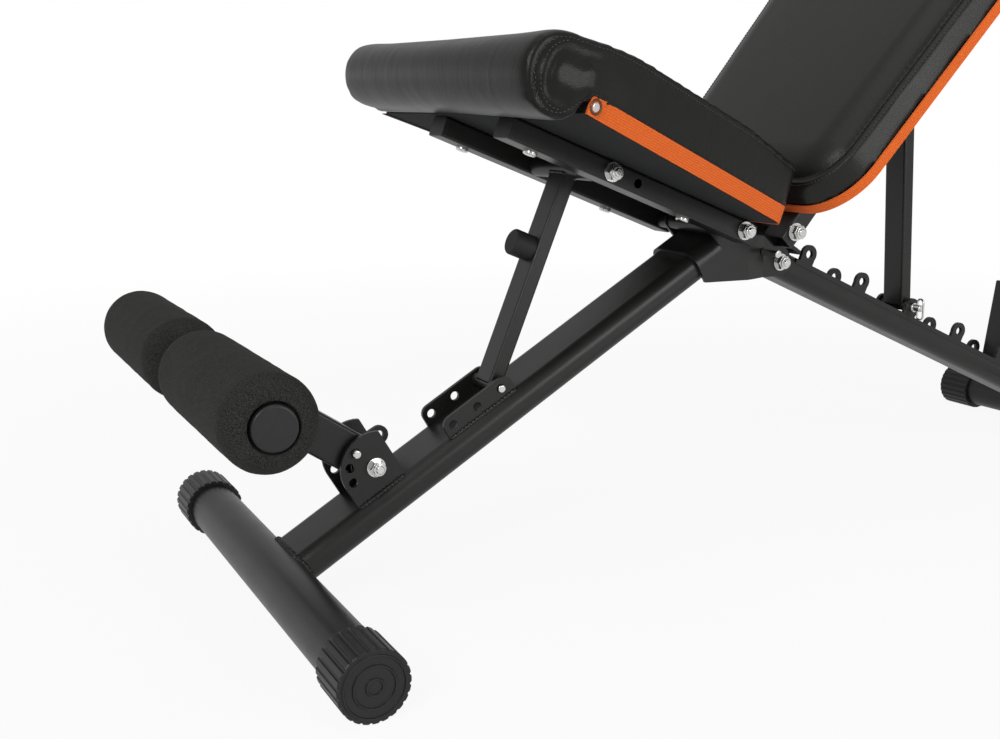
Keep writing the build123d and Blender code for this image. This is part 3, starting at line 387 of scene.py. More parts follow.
def make_ribbed_weave():
    # ribs along a band and fine cross threads; Tilt turns the ribs to the band's own slope. The tone follows the
    # relief, as painted shade in the grooves and painted highlight on the ribs
    inputs = [
        ("Tilt", "NodeSocketFloat", 0.0),
        ("Rib Scale", "NodeSocketFloat", 150.0),
        ("Thread Scale", "NodeSocketFloat", 260.0),
    ]
    tree, start, end = new_group("ribbed weave", inputs, HEIGHT_AND_PAINTED_SHADE)
    place = node(tree, "ShaderNodeTexCoord").outputs["Object"]
    turn = node(tree, "ShaderNodeVectorRotate", rotation_type="Y_AXIS")
    tree.links.new(place, turn.inputs["Vector"])
    tree.links.new(start.outputs["Tilt"], turn.inputs["Angle"])
    bands = []
    for label, direction in (("Rib Scale", "Z"), ("Thread Scale", "X"), ("Thread Scale", "Y")):
        wave = node(tree, "ShaderNodeTexWave", wave_type="BANDS", bands_direction=direction)
        wave.inputs["Distortion"].default_value = 0.35
        wave.inputs["Detail"].default_value = 1.0
        tree.links.new(turn.outputs["Vector"], wave.inputs["Vector"])
        tree.links.new(start.outputs[label], wave.inputs["Scale"])
        bands.append(wave.outputs["Fac"])
    threads = maths(tree, "MULTIPLY", maths(tree, "ADD", bands[1], bands[2]), 0.15)
    height = maths(tree, "ADD", bands[0], threads)
    tree.links.new(height, end.inputs["Height"])
    # colour from the relief: painted shade in the grooves, painted highlight on the rib crests
    tree.links.new(maths(tree, "MULTIPLY", height, 0.75), end.inputs["Painted Shade"])
    return tree


speckle_group = make_speckle()
hide_grain_group = make_hide_grain()
ribbed_weave_group = make_ribbed_weave()


def new_material(name, roughness, gloss=0.5, metallic=0.0):
    material = bpy.data.materials.new(name)
    material.use_nodes = True
    shader = material.node_tree.nodes["Principled BSDF"]
    shader.inputs["Roughness"].default_value = roughness
    shader.inputs["Specular IOR Level"].default_value = gloss
    shader.inputs["Metallic"].default_value = metallic
    return material, material.node_tree, shader


def place_group(tree, group, **values):
    n = node(tree, "ShaderNodeGroup", node_tree=group)
    for label, value in values.items():
        n.inputs[label.replace("_", " ")].default_value = value
    return n


def colour_between(tree, shader, mask, dark, light):
    mix = node(tree, "ShaderNodeMix", data_type="RGBA")
    tree.links.new(mask, mix.inputs["Factor"])
    mix.inputs["A"].default_value = (*dark, 1)
    mix.inputs["B"].default_value = (*light, 1)
    tree.links.new(mix.outputs["Result"], shader.inputs["Base Color"])


def bump(tree, shader, height, distance, edge=0.0):
    # relief of a finish, over edges that catch the light as slightly broken ones do
    n = node(tree, "ShaderNodeBump")
    n.inputs["Distance"].default_value = distance
    if edge:
        broken = node(tree, "ShaderNodeBevel", samples=4)
        broken.inputs["Radius"].default_value = edge
        tree.links.new(broken.outputs["Normal"], n.inputs["Normal"])
    tree.links.new(height, n.inputs["Height"])
    tree.links.new(n.outputs["Normal"], shader.inputs["Normal"])


def speckled(name, dark, light, rough, gloss, relief, fine, coarse, share, contrast, metallic=0.0):
    # a finish made of the speckle group alone: paint, plastic, foam, rubber, plating
    material, tree, shader = new_material(name, rough[0], gloss, metallic)
    grain = place_group(
        tree, speckle_group, Fine_Scale=fine, Coarse_Scale=coarse, Coarse_Share=share, Contrast=contrast
    )
    colour_between(tree, shader, grain.outputs["Mask"], dark, light)
    tree.links.new(spread(tree, grain.outputs["Mask"], rough[0], rough[1]), shader.inputs["Roughness"])
    bump(tree, shader, grain.outputs["Height"], relief, EDGE_BREAK)
    return material


def hide_material(name, dark, light, rough, gloss, crease_scale, crease_share):
    material, tree, shader = new_material(name, rough[0], gloss)
    grain = place_group(tree, hide_grain_group, Crease_Scale=crease_scale, Crease_Share=crease_share)
    # colour painted darker in the crease hollows, as painted shade
    colour_between(tree, shader, grain.outputs["Painted Shade"], dark, light)
    tree.links.new(spread(tree, grain.outputs["Painted Shade"], rough[0], rough[1]), shader.inputs["Roughness"])
    bump(tree, shader, grain.outputs["Height"], HIDE_RELIEF)
    return material


def webbing_material(name, tilt):
    material, tree, shader = new_material(name, 0.8, 0.2)
    weave = place_group(tree, ribbed_weave_group, Tilt=math.radians(tilt))
    # deep orange painted as shade in the grooves, lit orange as a highlight on the ribs
    colour_between(tree, shader, weave.outputs["Painted Shade"], ORANGE_GROOVE_SHADE, ORANGE_LIT)
    bump(tree, shader, weave.outputs["Height"], WEAVE_RELIEF)
    shader.inputs["Sheen Weight"].default_value = 0.1
    return material


black_paint = speckled(
    "black powder coat", dark=(0.011, 0.011, 0.0104), light=(0.018, 0.018, 0.017), rough=(0.28, 0.42),
    gloss=0.36, relief=0.00012, fine=1500, coarse=30, share=0.35, contrast=2.2,
)
zinc = speckled(
    "bright zinc", dark=(0.6, 0.6, 0.59), light=(0.82, 0.82, 0.8), rough=(0.14, 0.26),
    gloss=0.5, relief=0.000012, fine=700, coarse=60, share=0.5, contrast=1.6, metallic=1.0,
)
cap_plastic = speckled(
    "black moulded plastic", dark=(0.010, 0.010, 0.0098), light=(0.019, 0.019, 0.0185), rough=(0.32, 0.46),
    gloss=0.36, relief=0.0001, fine=1200, coarse=50, share=0.4, contrast=2.0,
)
foam_skin = speckled(
    "speckled foam", dark=(0.004, 0.004, 0.0038), light=(0.046, 0.046, 0.043), rough=(0.8, 0.95),
    gloss=0.2, relief=0.0005, fine=1300, coarse=25, share=0.1, contrast=4.2,
)
bumper_rubber = speckled(
    "bumper rubber", dark=(0.009, 0.009, 0.009), light=(0.016, 0.016, 0.016), rough=(0.55, 0.7),
    gloss=0.35, relief=0.0001, fine=900, coarse=40, share=0.3, contrast=2.0,
)
board_cloth = speckled(
    "dark backing cloth", dark=(0.016, 0.017, 0.017), light=(0.04, 0.041, 0.041), rough=(0.85, 0.95),
    gloss=0.2, relief=0.0004, fine=1100, coarse=60, share=0.3, contrast=2.2,
)
eyelet_metal = speckled(
    "dark eyelet metal", dark=(0.05, 0.04, 0.03), light=(0.16, 0.13, 0.09), rough=(0.3, 0.5),
    gloss=0.5, relief=0.00005, fine=900, coarse=80, share=0.4, contrast=2.0, metallic=1.0,
)
thread = speckled(
    "thread", dark=(0.025, 0.025, 0.024), light=(0.08, 0.08, 0.077), rough=(0.45, 0.6),
    gloss=0.4, relief=0.0001, fine=2000, coarse=200, share=0.3, contrast=2.0,
)
# the seat's copy of the leatherette is painted darker than the back's copy, as painted shade
seat_hide_painted_darker = hide_material(
    "seat leatherette painted darker", dark=(0.0045, 0.0045, 0.004), light=(0.009, 0.009, 0.008), rough=(0.27, 0.40),
    gloss=0.21, crease_scale=14.0, crease_share=0.42,
)
back_hide = hide_material(
    "back leatherette", dark=(0.010, 0.010, 0.0092), light=(0.015, 0.015, 0.0135), rough=(0.32, 0.44),
    gloss=0.26, crease_scale=9.0, crease_share=0.1,
)
seat_webbing = webbing_material("seat webbing", -SEAT_TILT)
back_webbing = webbing_material("back webbing", BACK_TILT)

SLOT_FINISH = {
    "black_steel": black_paint,
    "zinc": zinc,
    "cap_plastic": cap_plastic,
    "foam": foam_skin,
    "leatherette": seat_hide_painted_darker,
    "webbing": seat_webbing,
    "board": board_cloth,
    "rubber": bumper_rubber,
}

# Finishes of the CAD nodes

for part in frame["record"]["subparts"]:
    piece = nodes[part["node"]]
    piece.data.materials.clear()
    piece.data.materials.append(SLOT_FINISH[part["material_slot"]])
nodes["back_trim"].data.materials[0] = back_webbing


# Cushions


def cushion_base(name, cad_node, material, voxel, filling=None):
    # closed even mesh over the cushion's CAD solid and any filling added to it
    mesh = nodes[cad_node].data.copy()
    obj = bpy.data.objects.new(name, mesh)
    scene.collection.objects.link(obj)
    mesh.materials.clear()
    mesh.materials.append(material)
    bm = bmesh.new()
    bm.from_mesh(mesh)
    bmesh.ops.remove_doubles(bm, verts=bm.verts, dist=1e-5)
    if filling:
        corners = [bm.verts.new(v) for v in filling[0]]
        for face in filling[1]:
            bm.faces.new([corners[i] for i in face])
    bm.to_mesh(mesh)
    bm.free()
    remesh = obj.modifiers.new("even skin", "REMESH")
    remesh.mode = "VOXEL"
    remesh.voxel_size = voxel
    apply_modifiers(obj)
    return obj


def apply_modifiers(obj):
    graph = bpy.context.evaluated_depsgraph_get()
    graph.update()
    made = bpy.data.meshes.new_from_object(obj.evaluated_get(graph))
    old = obj.data
    obj.modifiers.clear()
    obj.data = made
    bpy.data.meshes.remove(old)
    for p in made.polygons:
        p.use_smooth = True


def smooth_skin(obj, factor, rounds, chosen=None):
    # round the edges, everywhere or at the chosen points alone
    mod = obj.modifiers.new("soften", "SMOOTH")
    mod.factor = factor
    mod.iterations = rounds
    if chosen is not None:
        group = obj.vertex_groups.new(name="soft edge")
        group.add([int(i) for i in np.where(chosen)[0]], 1.0, "REPLACE")
        mod.vertex_group = group.name
    apply_modifiers(obj)
    obj.vertex_groups.clear()


def swell(obj, matrix, cap, pressure, hold, rear=1.0):
    # stuffed shape: cloth under pressure, held along its underside, its sides and its rear
    rest = mesh_points(obj)
    local = to_local(matrix, rest)
    held = obj.vertex_groups.new(name="held")
    sides = np.abs(skin_normals(obj)[:, 1]) > 0.6
    fixed = sides | (local[:, 2] < BOARD_TOP + hold) | (local[:, 0] > rear)
    held.add([int(i) for i in np.where(fixed)[0]], 1.0, "REPLACE")
    mod = obj.modifiers.new("stuffing", "CLOTH")
    cloth = mod.settings
    cloth.quality = 5
    cloth.mass = 0.25
    cloth.tension_stiffness = 80
    cloth.compression_stiffness = 80
    cloth.shear_stiffness = 30
    cloth.bending_stiffness = 15
    cloth.use_pressure = True
    cloth.uniform_pressure_force = pressure
    cloth.vertex_group_mass = "held"
    cloth.effector_weights.gravity = 0.0
    mod.point_cache.frame_start = 1
    mod.point_cache.frame_end = CLOTH_FRAMES
    for f in range(1, CLOTH_FRAMES + 1):
        scene.frame_set(f)
    apply_modifiers(obj)
    moved = mesh_points(obj)
    step = moved - rest
    size = np.linalg.norm(step, axis=1, keepdims=True)
    set_points(obj, rest + step * np.minimum(1.0, cap / np.maximum(size, 1e-9)))
    obj.vertex_groups.clear()
    scene.frame_set(1)


def finer(obj):
    mod = obj.modifiers.new("finer skin", "SUBSURF")
    mod.levels = 1
    mod.render_levels = 1
    apply_modifiers(obj)


def skin_tree(obj):
    corners = [v.co for v in obj.data.vertices]
    faces = [list(p.vertices) for p in obj.data.polygons]
    return BVHTree.FromPolygons(corners, faces)


def on_skin(tree, p):
    place, normal, _, _ = tree.find_nearest(p)
    return place, normal


def skin_normals(obj):
    normals = np.empty(len(obj.data.vertices) * 3)
    obj.data.vertices.foreach_get("normal", normals)
    return normals.reshape(-1, 3)


def press_line(obj, path, depth, width, closed=False):
    # sink the skin along a sewn line, or raise it where the depth is negative
    tree = skin_tree(obj)
    step = width * 0.5
    line = [on_skin(tree, p)[0] for p in resample(path, step, closed)]
    points = mesh_points(obj)
    share = np.zeros(len(points))
    fade = LINE_FADE / step
    for i, q in enumerate(line):
        full = 1.0 if closed else min(1.0, i / fade, (len(line) - 1 - i) / fade)
        near = np.sum((points - np.array(q)) ** 2, axis=1)
        share = np.maximum(share, full * np.exp(-near / (width * width)))
    set_points(obj, points - skin_normals(obj) * depth * share[:, None])


def hug(obj, cad_node, matrix, height, front=-1.0):
    # keep the lower wall in its CAD place against the band, behind a given front
    cad = skin_tree(nodes[cad_node])
    points = mesh_points(obj)
    local = to_local(matrix, points)
    low = local[:, 2]
    top = height + WALL_FADE
    for i in np.where((low < top) & (local[:, 0] > front))[0]:
        place, normal = on_skin(cad, Vector(points[i]))
        share = min(1.0, (top - low[i]) / WALL_FADE)
        points[i] += share * (np.array(place + normal * WALL_PROUD) - points[i])
    set_points(obj, points)


def stitches(name, obj, paths, body, pitch=0.0040, length=0.0026, radius=0.00042):
    # rows of short threads lying on a cushion's skin
    tree = skin_tree(obj)
    verts, faces = [], []
    for path, closed in paths:
        spots = resample(path, pitch, closed)
        for p, q in zip(spots, spots[1:] + spots[:1] if closed else spots[1:]):
            a, na = on_skin(tree, p)
            b, _ = on_skin(tree, p + (q - p).normalized() * length)
            run = b - a
            if run.length < length * 0.3:
                continue
            side = run.cross(na).normalized() * radius
            up = na * radius
            base = len(verts)
            for t, grow in ((0.0, 0.3), (0.2, 1.0), (0.8, 1.0), (1.0, 0.3)):
                c = a + run * t + up * 0.5
                verts.extend([c + side * grow, c + up * grow, c - side * grow, c - up * grow])
            for ring in range(3):
                for k in range(4):
                    j = (k + 1) % 4
                    r0 = base + ring * 4
                    faces.append((r0 + k, r0 + j, r0 + 4 + j, r0 + 4 + k))
            faces.append(tuple(base + k for k in (3, 2, 1, 0)))
            faces.append(tuple(base + 12 + k for k in range(4)))
    return add_mesh(name, verts, faces, thread, body)


# Seat cushion


def seat_half(a):
    share = (SEAT_REAR - a) / (SEAT_REAR - SEAT_SHOULDER)
    return SEAT_REAR_HALF + (SEAT_FRONT_HALF - SEAT_REAR_HALF) * min(share, 1.0)


def seat_top(a):
    # height of the side panel's upper edge
    t = min(max((SEAT_EDGE_AT - a) / (SEAT_EDGE_AT - SEAT_ROLL_AT), 0.0), 1.0)
    roll_top = SEAT_ROLL_RISE + SEAT_ROLL_R
    belly = SEAT_BELLY * 4 * t * (1 - t)
    return min(SEAT_EDGE_TOP + (roll_top - SEAT_EDGE_TOP) * t + belly, SEAT_SIDE_TOP)


def eased(x):
    # smooth step from 0 to 1
    x = np.clip(x, 0, 1)
    return x * x * (3 - 2 * x)


def leaned(a, y, n):
    # height after the stuffed roll has settled: fuller and lower at its near end than at its far end
    near = np.clip(-y / SEAT_FRONT_HALF, 0, 1)
    over_board = eased((n - BAND_LOW - BAND_TALL - LEAN_CLEAR) / LEAN_RISE)
    ahead = np.clip((SEAT_SHOULDER - a) / LEAN_AHEAD, 0, 1)
    share = eased((LEAN_START - a) / LEAN_RUN) * np.maximum(over_board, ahead)
    fuller = (n - SEAT_ROLL_RISE) * ROLL_SWELL * near
    return n + share * (ROLL_DROP + ROLL_LEAN * y + fuller)


def lean_roll(obj):
    points = to_local(SEAT, mesh_points(obj))
    points[:, 2] = leaned(points[:, 0], points[:, 1], points[:, 2])
    set_points(obj, to_world(SEAT, points))


def on_side(line, side):
    # points given along and above the rails, placed on a side panel
    out = []
    for a, n in line:
        y = side * (seat_half(a) + SEAT_BULGE - n * SIDE_DRAW)
        out.append(SEAT @ Vector((a, y, leaned(a, y, n))))
    return out


def roll_ring(inset, arc, steps=28):
    # arc on the roll's end panel inside its edge, drawn close to it above and below
    first, last = arc
    line = []
    for k in range(steps + 1):
        t = math.radians(first + (last - first) * k / steps)
        r = SEAT_ROLL_R - inset * (0.5 + 0.5 * max(0.0, -math.cos(t)))
        line.append((SEAT_ROLL_AT + r * math.cos(t), SEAT_ROLL_RISE + r * math.sin(t)))
    return line


def seat_seam(inset, edge):
    # sewn line from the band's front end round the roll and back along the upper edge
    line = [(BAND_FRONT + SEAM_CLEAR, BAND_LOW + BAND_TALL + SEAM_CLEAR)]
    line += roll_ring(inset, SEAM_ARC)
    for k in range(1, SEAM_STEPS + 1):
        t = k / SEAM_STEPS
        a = SEAT_ROLL_AT + (SEAT_REAR - SEAM_CLEAR - SEAT_ROLL_AT) * t
        drop = edge + (inset / 2 - edge) * max(0.0, 1 - t / SEAM_DROP_RUN)
        line.append((a, seat_top(a) - drop))
    return line


def dome_roll_ends(obj):
    # stuffed end panels of the roll, proud of their sewn ring
    points = to_local(SEAT, mesh_points(obj))
    facing = eased((np.abs(skin_normals(obj)[:, 1]) - 0.3) / 0.4)
    a = points[:, 0]
    n = points[:, 2] + (points[:, 2] - leaned(a, points[:, 1], points[:, 2]))
    round_depth = SEAT_ROLL_R - np.hypot(a - SEAT_ROLL_AT, n - SEAT_ROLL_RISE)
    straight_depth = SEAT_ROLL_R - np.abs(n - SEAT_ROLL_RISE)
    depth = np.where(a < SEAT_ROLL_AT, round_depth, straight_depth)
    inside = eased((depth - DOME_RIM) / DOME_EASE)
    lift = ROLL_DOME * inside * eased((DOME_START - a) / DOME_RUN) * facing
    points[:, 1] += np.sign(points[:, 1]) * lift
    set_points(obj, to_world(SEAT, points))


def roll_throat():
    # stuffing drawn back from under the roll to the board's front edge
    front, back = THROAT_FRONT, SEAT_SHOULDER - THROAT_GAP
    mid = (front + back) / 2
    under = [(front, 0.0048), (mid, 0.0055), (back, 0.0085)]
    over = [(back, 0.0215), (mid, 0.0235), (front, 0.0215)]
    outline = under + over
    half = SEAT_FRONT_HALF + SEAT_BULGE - THROAT_INSET
    count = len(outline)
    verts = [SEAT @ Vector((a, y, n)) for y in (-half, half) for a, n in outline]
    faces = [(i, (i + 1) % count, count + (i + 1) % count, count + i) for i in range(count)]
    faces.append(tuple(reversed(range(count))))
    faces.append(tuple(count + i for i in range(count)))
    return verts, faces


def seat_front_ends(obj):
    # points at the two front ends, where the cover is drawn round the roll
    local = to_local(SEAT, mesh_points(obj))
    return (local[:, 0] < SEAT_SHOULDER) & (np.abs(local[:, 1]) > SEAT_FRONT_HALF - 0.02)


def sew_seat(obj, side):
    # sunk rows, a raised welt and a groove on the roll's end, and the seam along the side's upper edge
    for inset in END_ROWS:
        press_line(obj, on_side(roll_ring(inset, END_ARC), side), 0.0009, 0.002)
    press_line(obj, on_side(roll_ring(END_WELT, WELT_ARC), side), -0.0011, 0.0026)
    press_line(obj, on_side(roll_ring(END_GROOVE, WELT_ARC), side), 0.0013, 0.0026)
    press_line(obj, on_side(seat_seam(END_ROWS[0], EDGE_ROW), side), 0.0007, 0.0024)


seat_cushion = cushion_base("seat_cushion", "seat_pad", seat_hide_painted_darker, SEAT_VOXEL, roll_throat())
smooth_skin(seat_cushion, 0.5, 8)
smooth_skin(seat_cushion, 0.5, 6, seat_front_ends(seat_cushion))
swell(seat_cushion, SEAT, cap=0.0013, pressure=3.0, hold=0.006, rear=-0.06)
finer(seat_cushion)
hug(seat_cushion, "seat_pad", SEAT, BAND_LOW + BAND_TALL, SEAT_SHOULDER)
lean_roll(seat_cushion)
dome_roll_ends(seat_cushion)
for side in (-1, 1):
    sew_seat(seat_cushion, side)
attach(seat_cushion, "seat")
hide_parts("seat_pad")
rows = []
for side in (-1, 1):
    rows.append((on_side(seat_seam(END_ROWS[0], EDGE_ROW), side), False))
    rows.append((on_side(roll_ring(END_ROWS[1], END_ARC), side), False))
stitches("seat_stitches", seat_cushion, rows, "seat")


def cloth_hem(name, side):
    # folded edge of the backing cloth under the band
    verts = []
    for level in HEM_LEVELS:
        for a in (HEM_FRONT, HEM_REAR):
            for out in (HEM_IN, HEM_OUT):
                verts.append(SEAT @ Vector((a, side * (seat_half(a) + out), level)))
    faces = [(0, 1, 3, 2), (4, 6, 7, 5), (0, 4, 5, 1), (2, 3, 7, 6), (0, 2, 6, 4), (1, 5, 7, 3)]
    if side < 0:
        faces = [tuple(reversed(f)) for f in faces]
    return add_mesh(name, verts, faces, board_cloth, "seat", False)


cloth_hem("cloth_hem_near", -1)
cloth_hem("cloth_hem_far", 1)

# Ends of the seat's band: a folded corner under a ringed rivet


def band_point(side, along, up, out):
    # place on the band's outer face, measured back from its front end and up from its lower edge
    a = BAND_FRONT + along
    y = side * (seat_half(a) + BAND_OUT + out)
    return SEAT @ Vector((a, y, BAND_LOW + up))


def folded_end(name, side):
    # second layer of webbing over the band's end, cut off on the slant
    corners = [(0.0, 0.0), (FOLD_LOW_RUN, 0.0), (FOLD_HIGH_RUN, BAND_TALL), (0.0, BAND_TALL)]
    verts = [band_point(side, u, v, level) for level in FOLD_LEVELS for u, v in corners]
    faces = [(3, 2, 1, 0), (4, 5, 6, 7)]
    faces += [(k, (k + 1) % 4, 4 + (k + 1) % 4, 4 + k) for k in range(4)]
    if side > 0:
        faces = [tuple(reversed(f)) for f in faces]
    return add_mesh(name, verts, faces, seat_webbing, "seat", False)


def rivet_ring(name, side, major=0.0056, minor=0.0009, turns=28, sides=8):
    # pressed eyelet round the rivet
    verts, faces = [], []
    for i in range(turns):
        t = 2 * math.pi * i / turns
        for j in range(sides):
            b = 2 * math.pi * j / sides
            r = major + minor * math.cos(b)
            level = RING_LEVEL + minor * math.sin(b)
            along, up = RIVET_IN + r * math.cos(t), BAND_TALL / 2 + r * math.sin(t)
            verts.append(band_point(side, along, up, level))
    for i in range(turns):
        for j in range(sides):
            k, m = (i + 1) % turns, (j + 1) % sides
            faces.append((i * sides + j, k * sides + j, k * sides + m, i * sides + m))
    if side < 0:
        faces = [tuple(reversed(f)) for f in faces]
    return add_mesh(name, verts, faces, eyelet_metal, "seat")


for side, word in ((-1, "near"), (1, "far")):
    folded_end("band_fold_" + word, side)
    rivet_ring("rivet_ring_" + word, side)

# Back cushion


def rounded_loop(points, radius, arc_steps=10):
    # closed outline through corner points with one round radius
    out = []
    count = len(points)
    for i in range(count):
        p, q, r = Vector(points[i - 1]), Vector(points[i]), Vector(points[(i + 1) % count])
        u, v = (p - q).normalized(), (r - q).normalized()
        half = u.angle(v) / 2
        centre = q + (u + v).normalized() * (radius / math.sin(half))
        start = q + u * (radius / math.tan(half)) - centre
        end = q + v * (radius / math.tan(half)) - centre
        for k in range(arc_steps + 1):
            t = k / arc_steps
            d = start.lerp(end, t).normalized() * radius
            out.append(centre + d)
    return out


def back_outline(inset):
    slope = (BACK_HIGH_HALF - BACK_LOW_HALF) / (BACK_HIGH - BACK_LOW)
    low, high = BACK_LOW + inset, BACK_HIGH - inset
    low_half = BACK_LOW_HALF + slope * inset - inset
    high_half = BACK_HIGH_HALF - slope * inset - inset
    corners = [(low, low_half), (low, -low_half), (high, -high_half), (high, high_half)]
    return rounded_loop(corners, max(BACK_CORNER - inset, 0.02))


def outline_distance(local):
    # distance of each point inside the pad's outline, seen from above
    outline = resample([p.to_3d() for p in back_outline(0.0)], 0.004, True)
    edge = np.array([(p.x, p.y) for p in outline])
    near = np.full(len(local), 1e9)
    for q in edge:
        near = np.minimum(near, np.sum((local[:, :2] - q) ** 2, axis=1))
    return np.sqrt(near)


def back_profile(inset):
    # height of the skin: a flat sewn rim, then a rise to the stuffed panel
    u = np.clip((inset - RIM_END) / PANEL_EASE, 0, 1)
    rim = RIM_TOP + RIM_RISE * np.clip((inset - RIM_START) / (RIM_END - RIM_START), 0, 1)
    return rim + (PANEL_TOP - rim) * (1 - (1 - u) ** PANEL_POWER)


def shape_back(obj):
    local = to_local(BACK, mesh_points(obj))
    top = back_profile(outline_distance(local))
    height = local[:, 2]
    local[:, 2] = np.where(height > BOARD_TOP + CROWN_FROM, np.minimum(height, top), height)
    set_points(obj, to_world(BACK, local))


def back_line(inset):
    height = float(back_profile(inset))
    return [BACK @ Vector((p.x, p.y, height)) for p in back_outline(inset)]


back_cushion = cushion_base("back_cushion", "back_pad", back_hide, BACK_VOXEL)
smooth_skin(back_cushion, 0.5, 3)
swell(back_cushion, BACK, cap=0.001, pressure=2.0, hold=0.02)
finer(back_cushion)
hug(back_cushion, "back_pad", BACK, BACK_WALL)
shape_back(back_cushion)
smooth_skin(back_cushion, 0.5, 2)
press_line(back_cushion, back_line(BACK_ROWS[0]), 0.0007, 0.0018, True)
press_line(back_cushion, back_line(BACK_ROWS[1]), 0.0016, 0.0022, True)
press_line(back_cushion, back_line(sum(BACK_ROWS) / 2), -0.0007, 0.003, True)
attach(back_cushion, "back")
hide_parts("back_pad")
stitches("back_stitches", back_cushion, [(back_line(d), True) for d in BACK_ROWS], "back")

# Foam rollers


def foam_profile():
    # closed outline of the sleeve as (radius, distance from the middle of the bench)
    bend = [math.radians(90 * k / 10) for k in range(11)]
    flat = FOAM_R - FOAM_END_R
    inner = [(flat + FOAM_END_R * math.sin(t), FOAM_IN + FOAM_END_R * (1 - math.cos(t))) for t in bend]
    outer = [(flat + FOAM_END_R * math.cos(t), FOAM_OUT - FOAM_END_R * (1 - math.sin(t))) for t in bend]
    length = FOAM_OUT - FOAM_IN - 2 * FOAM_END_R
    middle = [(FOAM_R, FOAM_IN + FOAM_END_R + length * k / FOAM_STEPS) for k in range(1, FOAM_STEPS)]
    deep = FOAM_OUT - FOAM_RECESS
    rim = [(FOAM_RIM + 0.0004, FOAM_OUT - 0.0002), (FOAM_RIM, FOAM_OUT - FOAM_LIP), (FOAM_RIM, deep)]
    bore = [(FOAM_BORE, deep), (FOAM_BORE, (FOAM_IN + deep) / 2), (FOAM_BORE, FOAM_IN)]
    return inner + middle + outer + rim + bore


def foam_roller(name, cad_node, body, side, turns=128):
    # lathe form with the uneven skin of cut closed-cell foam
    axis = joint_place(body + "_spin")
    verts, faces = [], []
    profile = foam_profile()
    count = len(profile)
    for i in range(turns):
        t = 2 * math.pi * i / turns
        for r, y in profile:
            p = Vector((r * math.cos(t), side * y, r * math.sin(t)))
            if r > FOAM_RIM:
                r += sum(depth * noise.noise(p * scale) for depth, scale in (FOAM_PITS, FOAM_WAVES))
            verts.append((axis.x + r * math.cos(t), side * y, axis.z + r * math.sin(t)))
    for i in range(turns):
        for j in range(count):
            k, m = (i + 1) % turns, (j + 1) % count
            quad = (i * count + j, i * count + m, k * count + m, k * count + j)
            faces.append(quad if side > 0 else tuple(reversed(quad)))
    sleeve = add_mesh(name, verts, faces, foam_skin, body)
    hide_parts(cad_node)


foam_roller("foam_sleeve_near", "foam_roller_near", "roller_near", -1)
foam_roller("foam_sleeve_far", "foam_roller_far", "roller_far", 1)

# Weld beads under the paint


def box_centre(cad_node):
    low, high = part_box(cad_node)
    return (Vector(low) + Vector(high)) / 2


FRONT_LEG = tilted_frame(box_centre("front_foot_tube"), FRONT_TILT)
REAR_LEG = tilted_frame(joint_place("frame_fold"), -REAR_TILT)


def weld_bead(name, path, body, radius, closed=False):
    # row of overlapping weld pools along a path
    spots = resample(path, BEAD_STEP, closed)
    verts, faces = [], []
    sides = 8
    count = len(spots)
    for i, p in enumerate(spots):
        before = spots[i - 1] if i or closed else p
        after = spots[(i + 1) % count] if i + 1 < count or closed else p
        run = (after - before).normalized()
        u = run.orthogonal().normalized()
        v = run.cross(u)
        pool = (i * BEAD_STEP % BEAD_RIPPLE) / BEAD_RIPPLE
        r = radius * (0.75 + 0.4 * math.sin(math.pi * pool)) * (1 + 0.25 * noise.noise(p * 160))
        if not closed:
            r *= min(1.0, 0.35 + 0.2 * min(i, count - 1 - i))
        for k in range(sides):
            t = 2 * math.pi * k / sides
            verts.append(p + (u * math.cos(t) + v * math.sin(t)) * r)
    for i in range(count if closed else count - 1):
        j = (i + 1) % count
        for k in range(sides):
            m = (k + 1) % sides
            faces.append((i * sides + k, i * sides + m, j * sides + m, j * sides + k))
    if not closed:
        faces.append(tuple(reversed(range(sides))))
        faces.append(tuple((count - 1) * sides + k for k in range(sides)))
    return add_mesh(name, verts, faces, black_paint, body)


def leg_section(wide):
    # outline of a leg's oval tube as (across, above the tube's middle)
    w, h = wide / 2, LEG_TALL / 2
    return rounded_loop([(w, h), (-w, h), (-w, -h), (w, -h)], LEG_CORNER, 8)


front_joint = []
for p in leg_section(FRONT_LEG_WIDE):
    rise = LEG_MID + p.y
    front_joint.append(FRONT_LEG @ Vector((math.sqrt(FOOT_R**2 - rise**2), p.x, rise)))
weld_bead("front_foot_weld", front_joint, "front_frame", FOOT_BEAD, True)
rear_foot = REAR_LEG.inverted() @ box_centre("rear_foot_tube")
rear_joint = []
for p in leg_section(REAR_LEG_WIDE):
    reach = math.sqrt(max(FOOT_R**2 - (p.y - rear_foot.z) ** 2, 0.0))
    rear_joint.append(REAR_LEG @ Vector((rear_foot.x - reach, p.x, p.y)))
weld_bead("rear_foot_weld", rear_joint, "rear_frame", FOOT_BEAD, True)
beside = PLATE_OUT - FRONT_LEG_WIDE / 2 + LEG_CORNER
leg_skin = LEG_MID + LEG_TALL / 2 - LEG_CORNER + math.sqrt(LEG_CORNER**2 - beside**2)
for word, (s0, s1) in (("roller_bracket", ROLLER_PLATE_RUN), ("strut_bracket", STRUT_PLATE_RUN)):
    for side, place in ((-1, "near"), (1, "far")):
        ends = [FRONT_LEG @ Vector((s, side * PLATE_OUT, leg_skin)) for s in (s0, s1)]
        weld_bead(word + "_weld_" + place, ends, "front_frame", PLATE_BEAD)


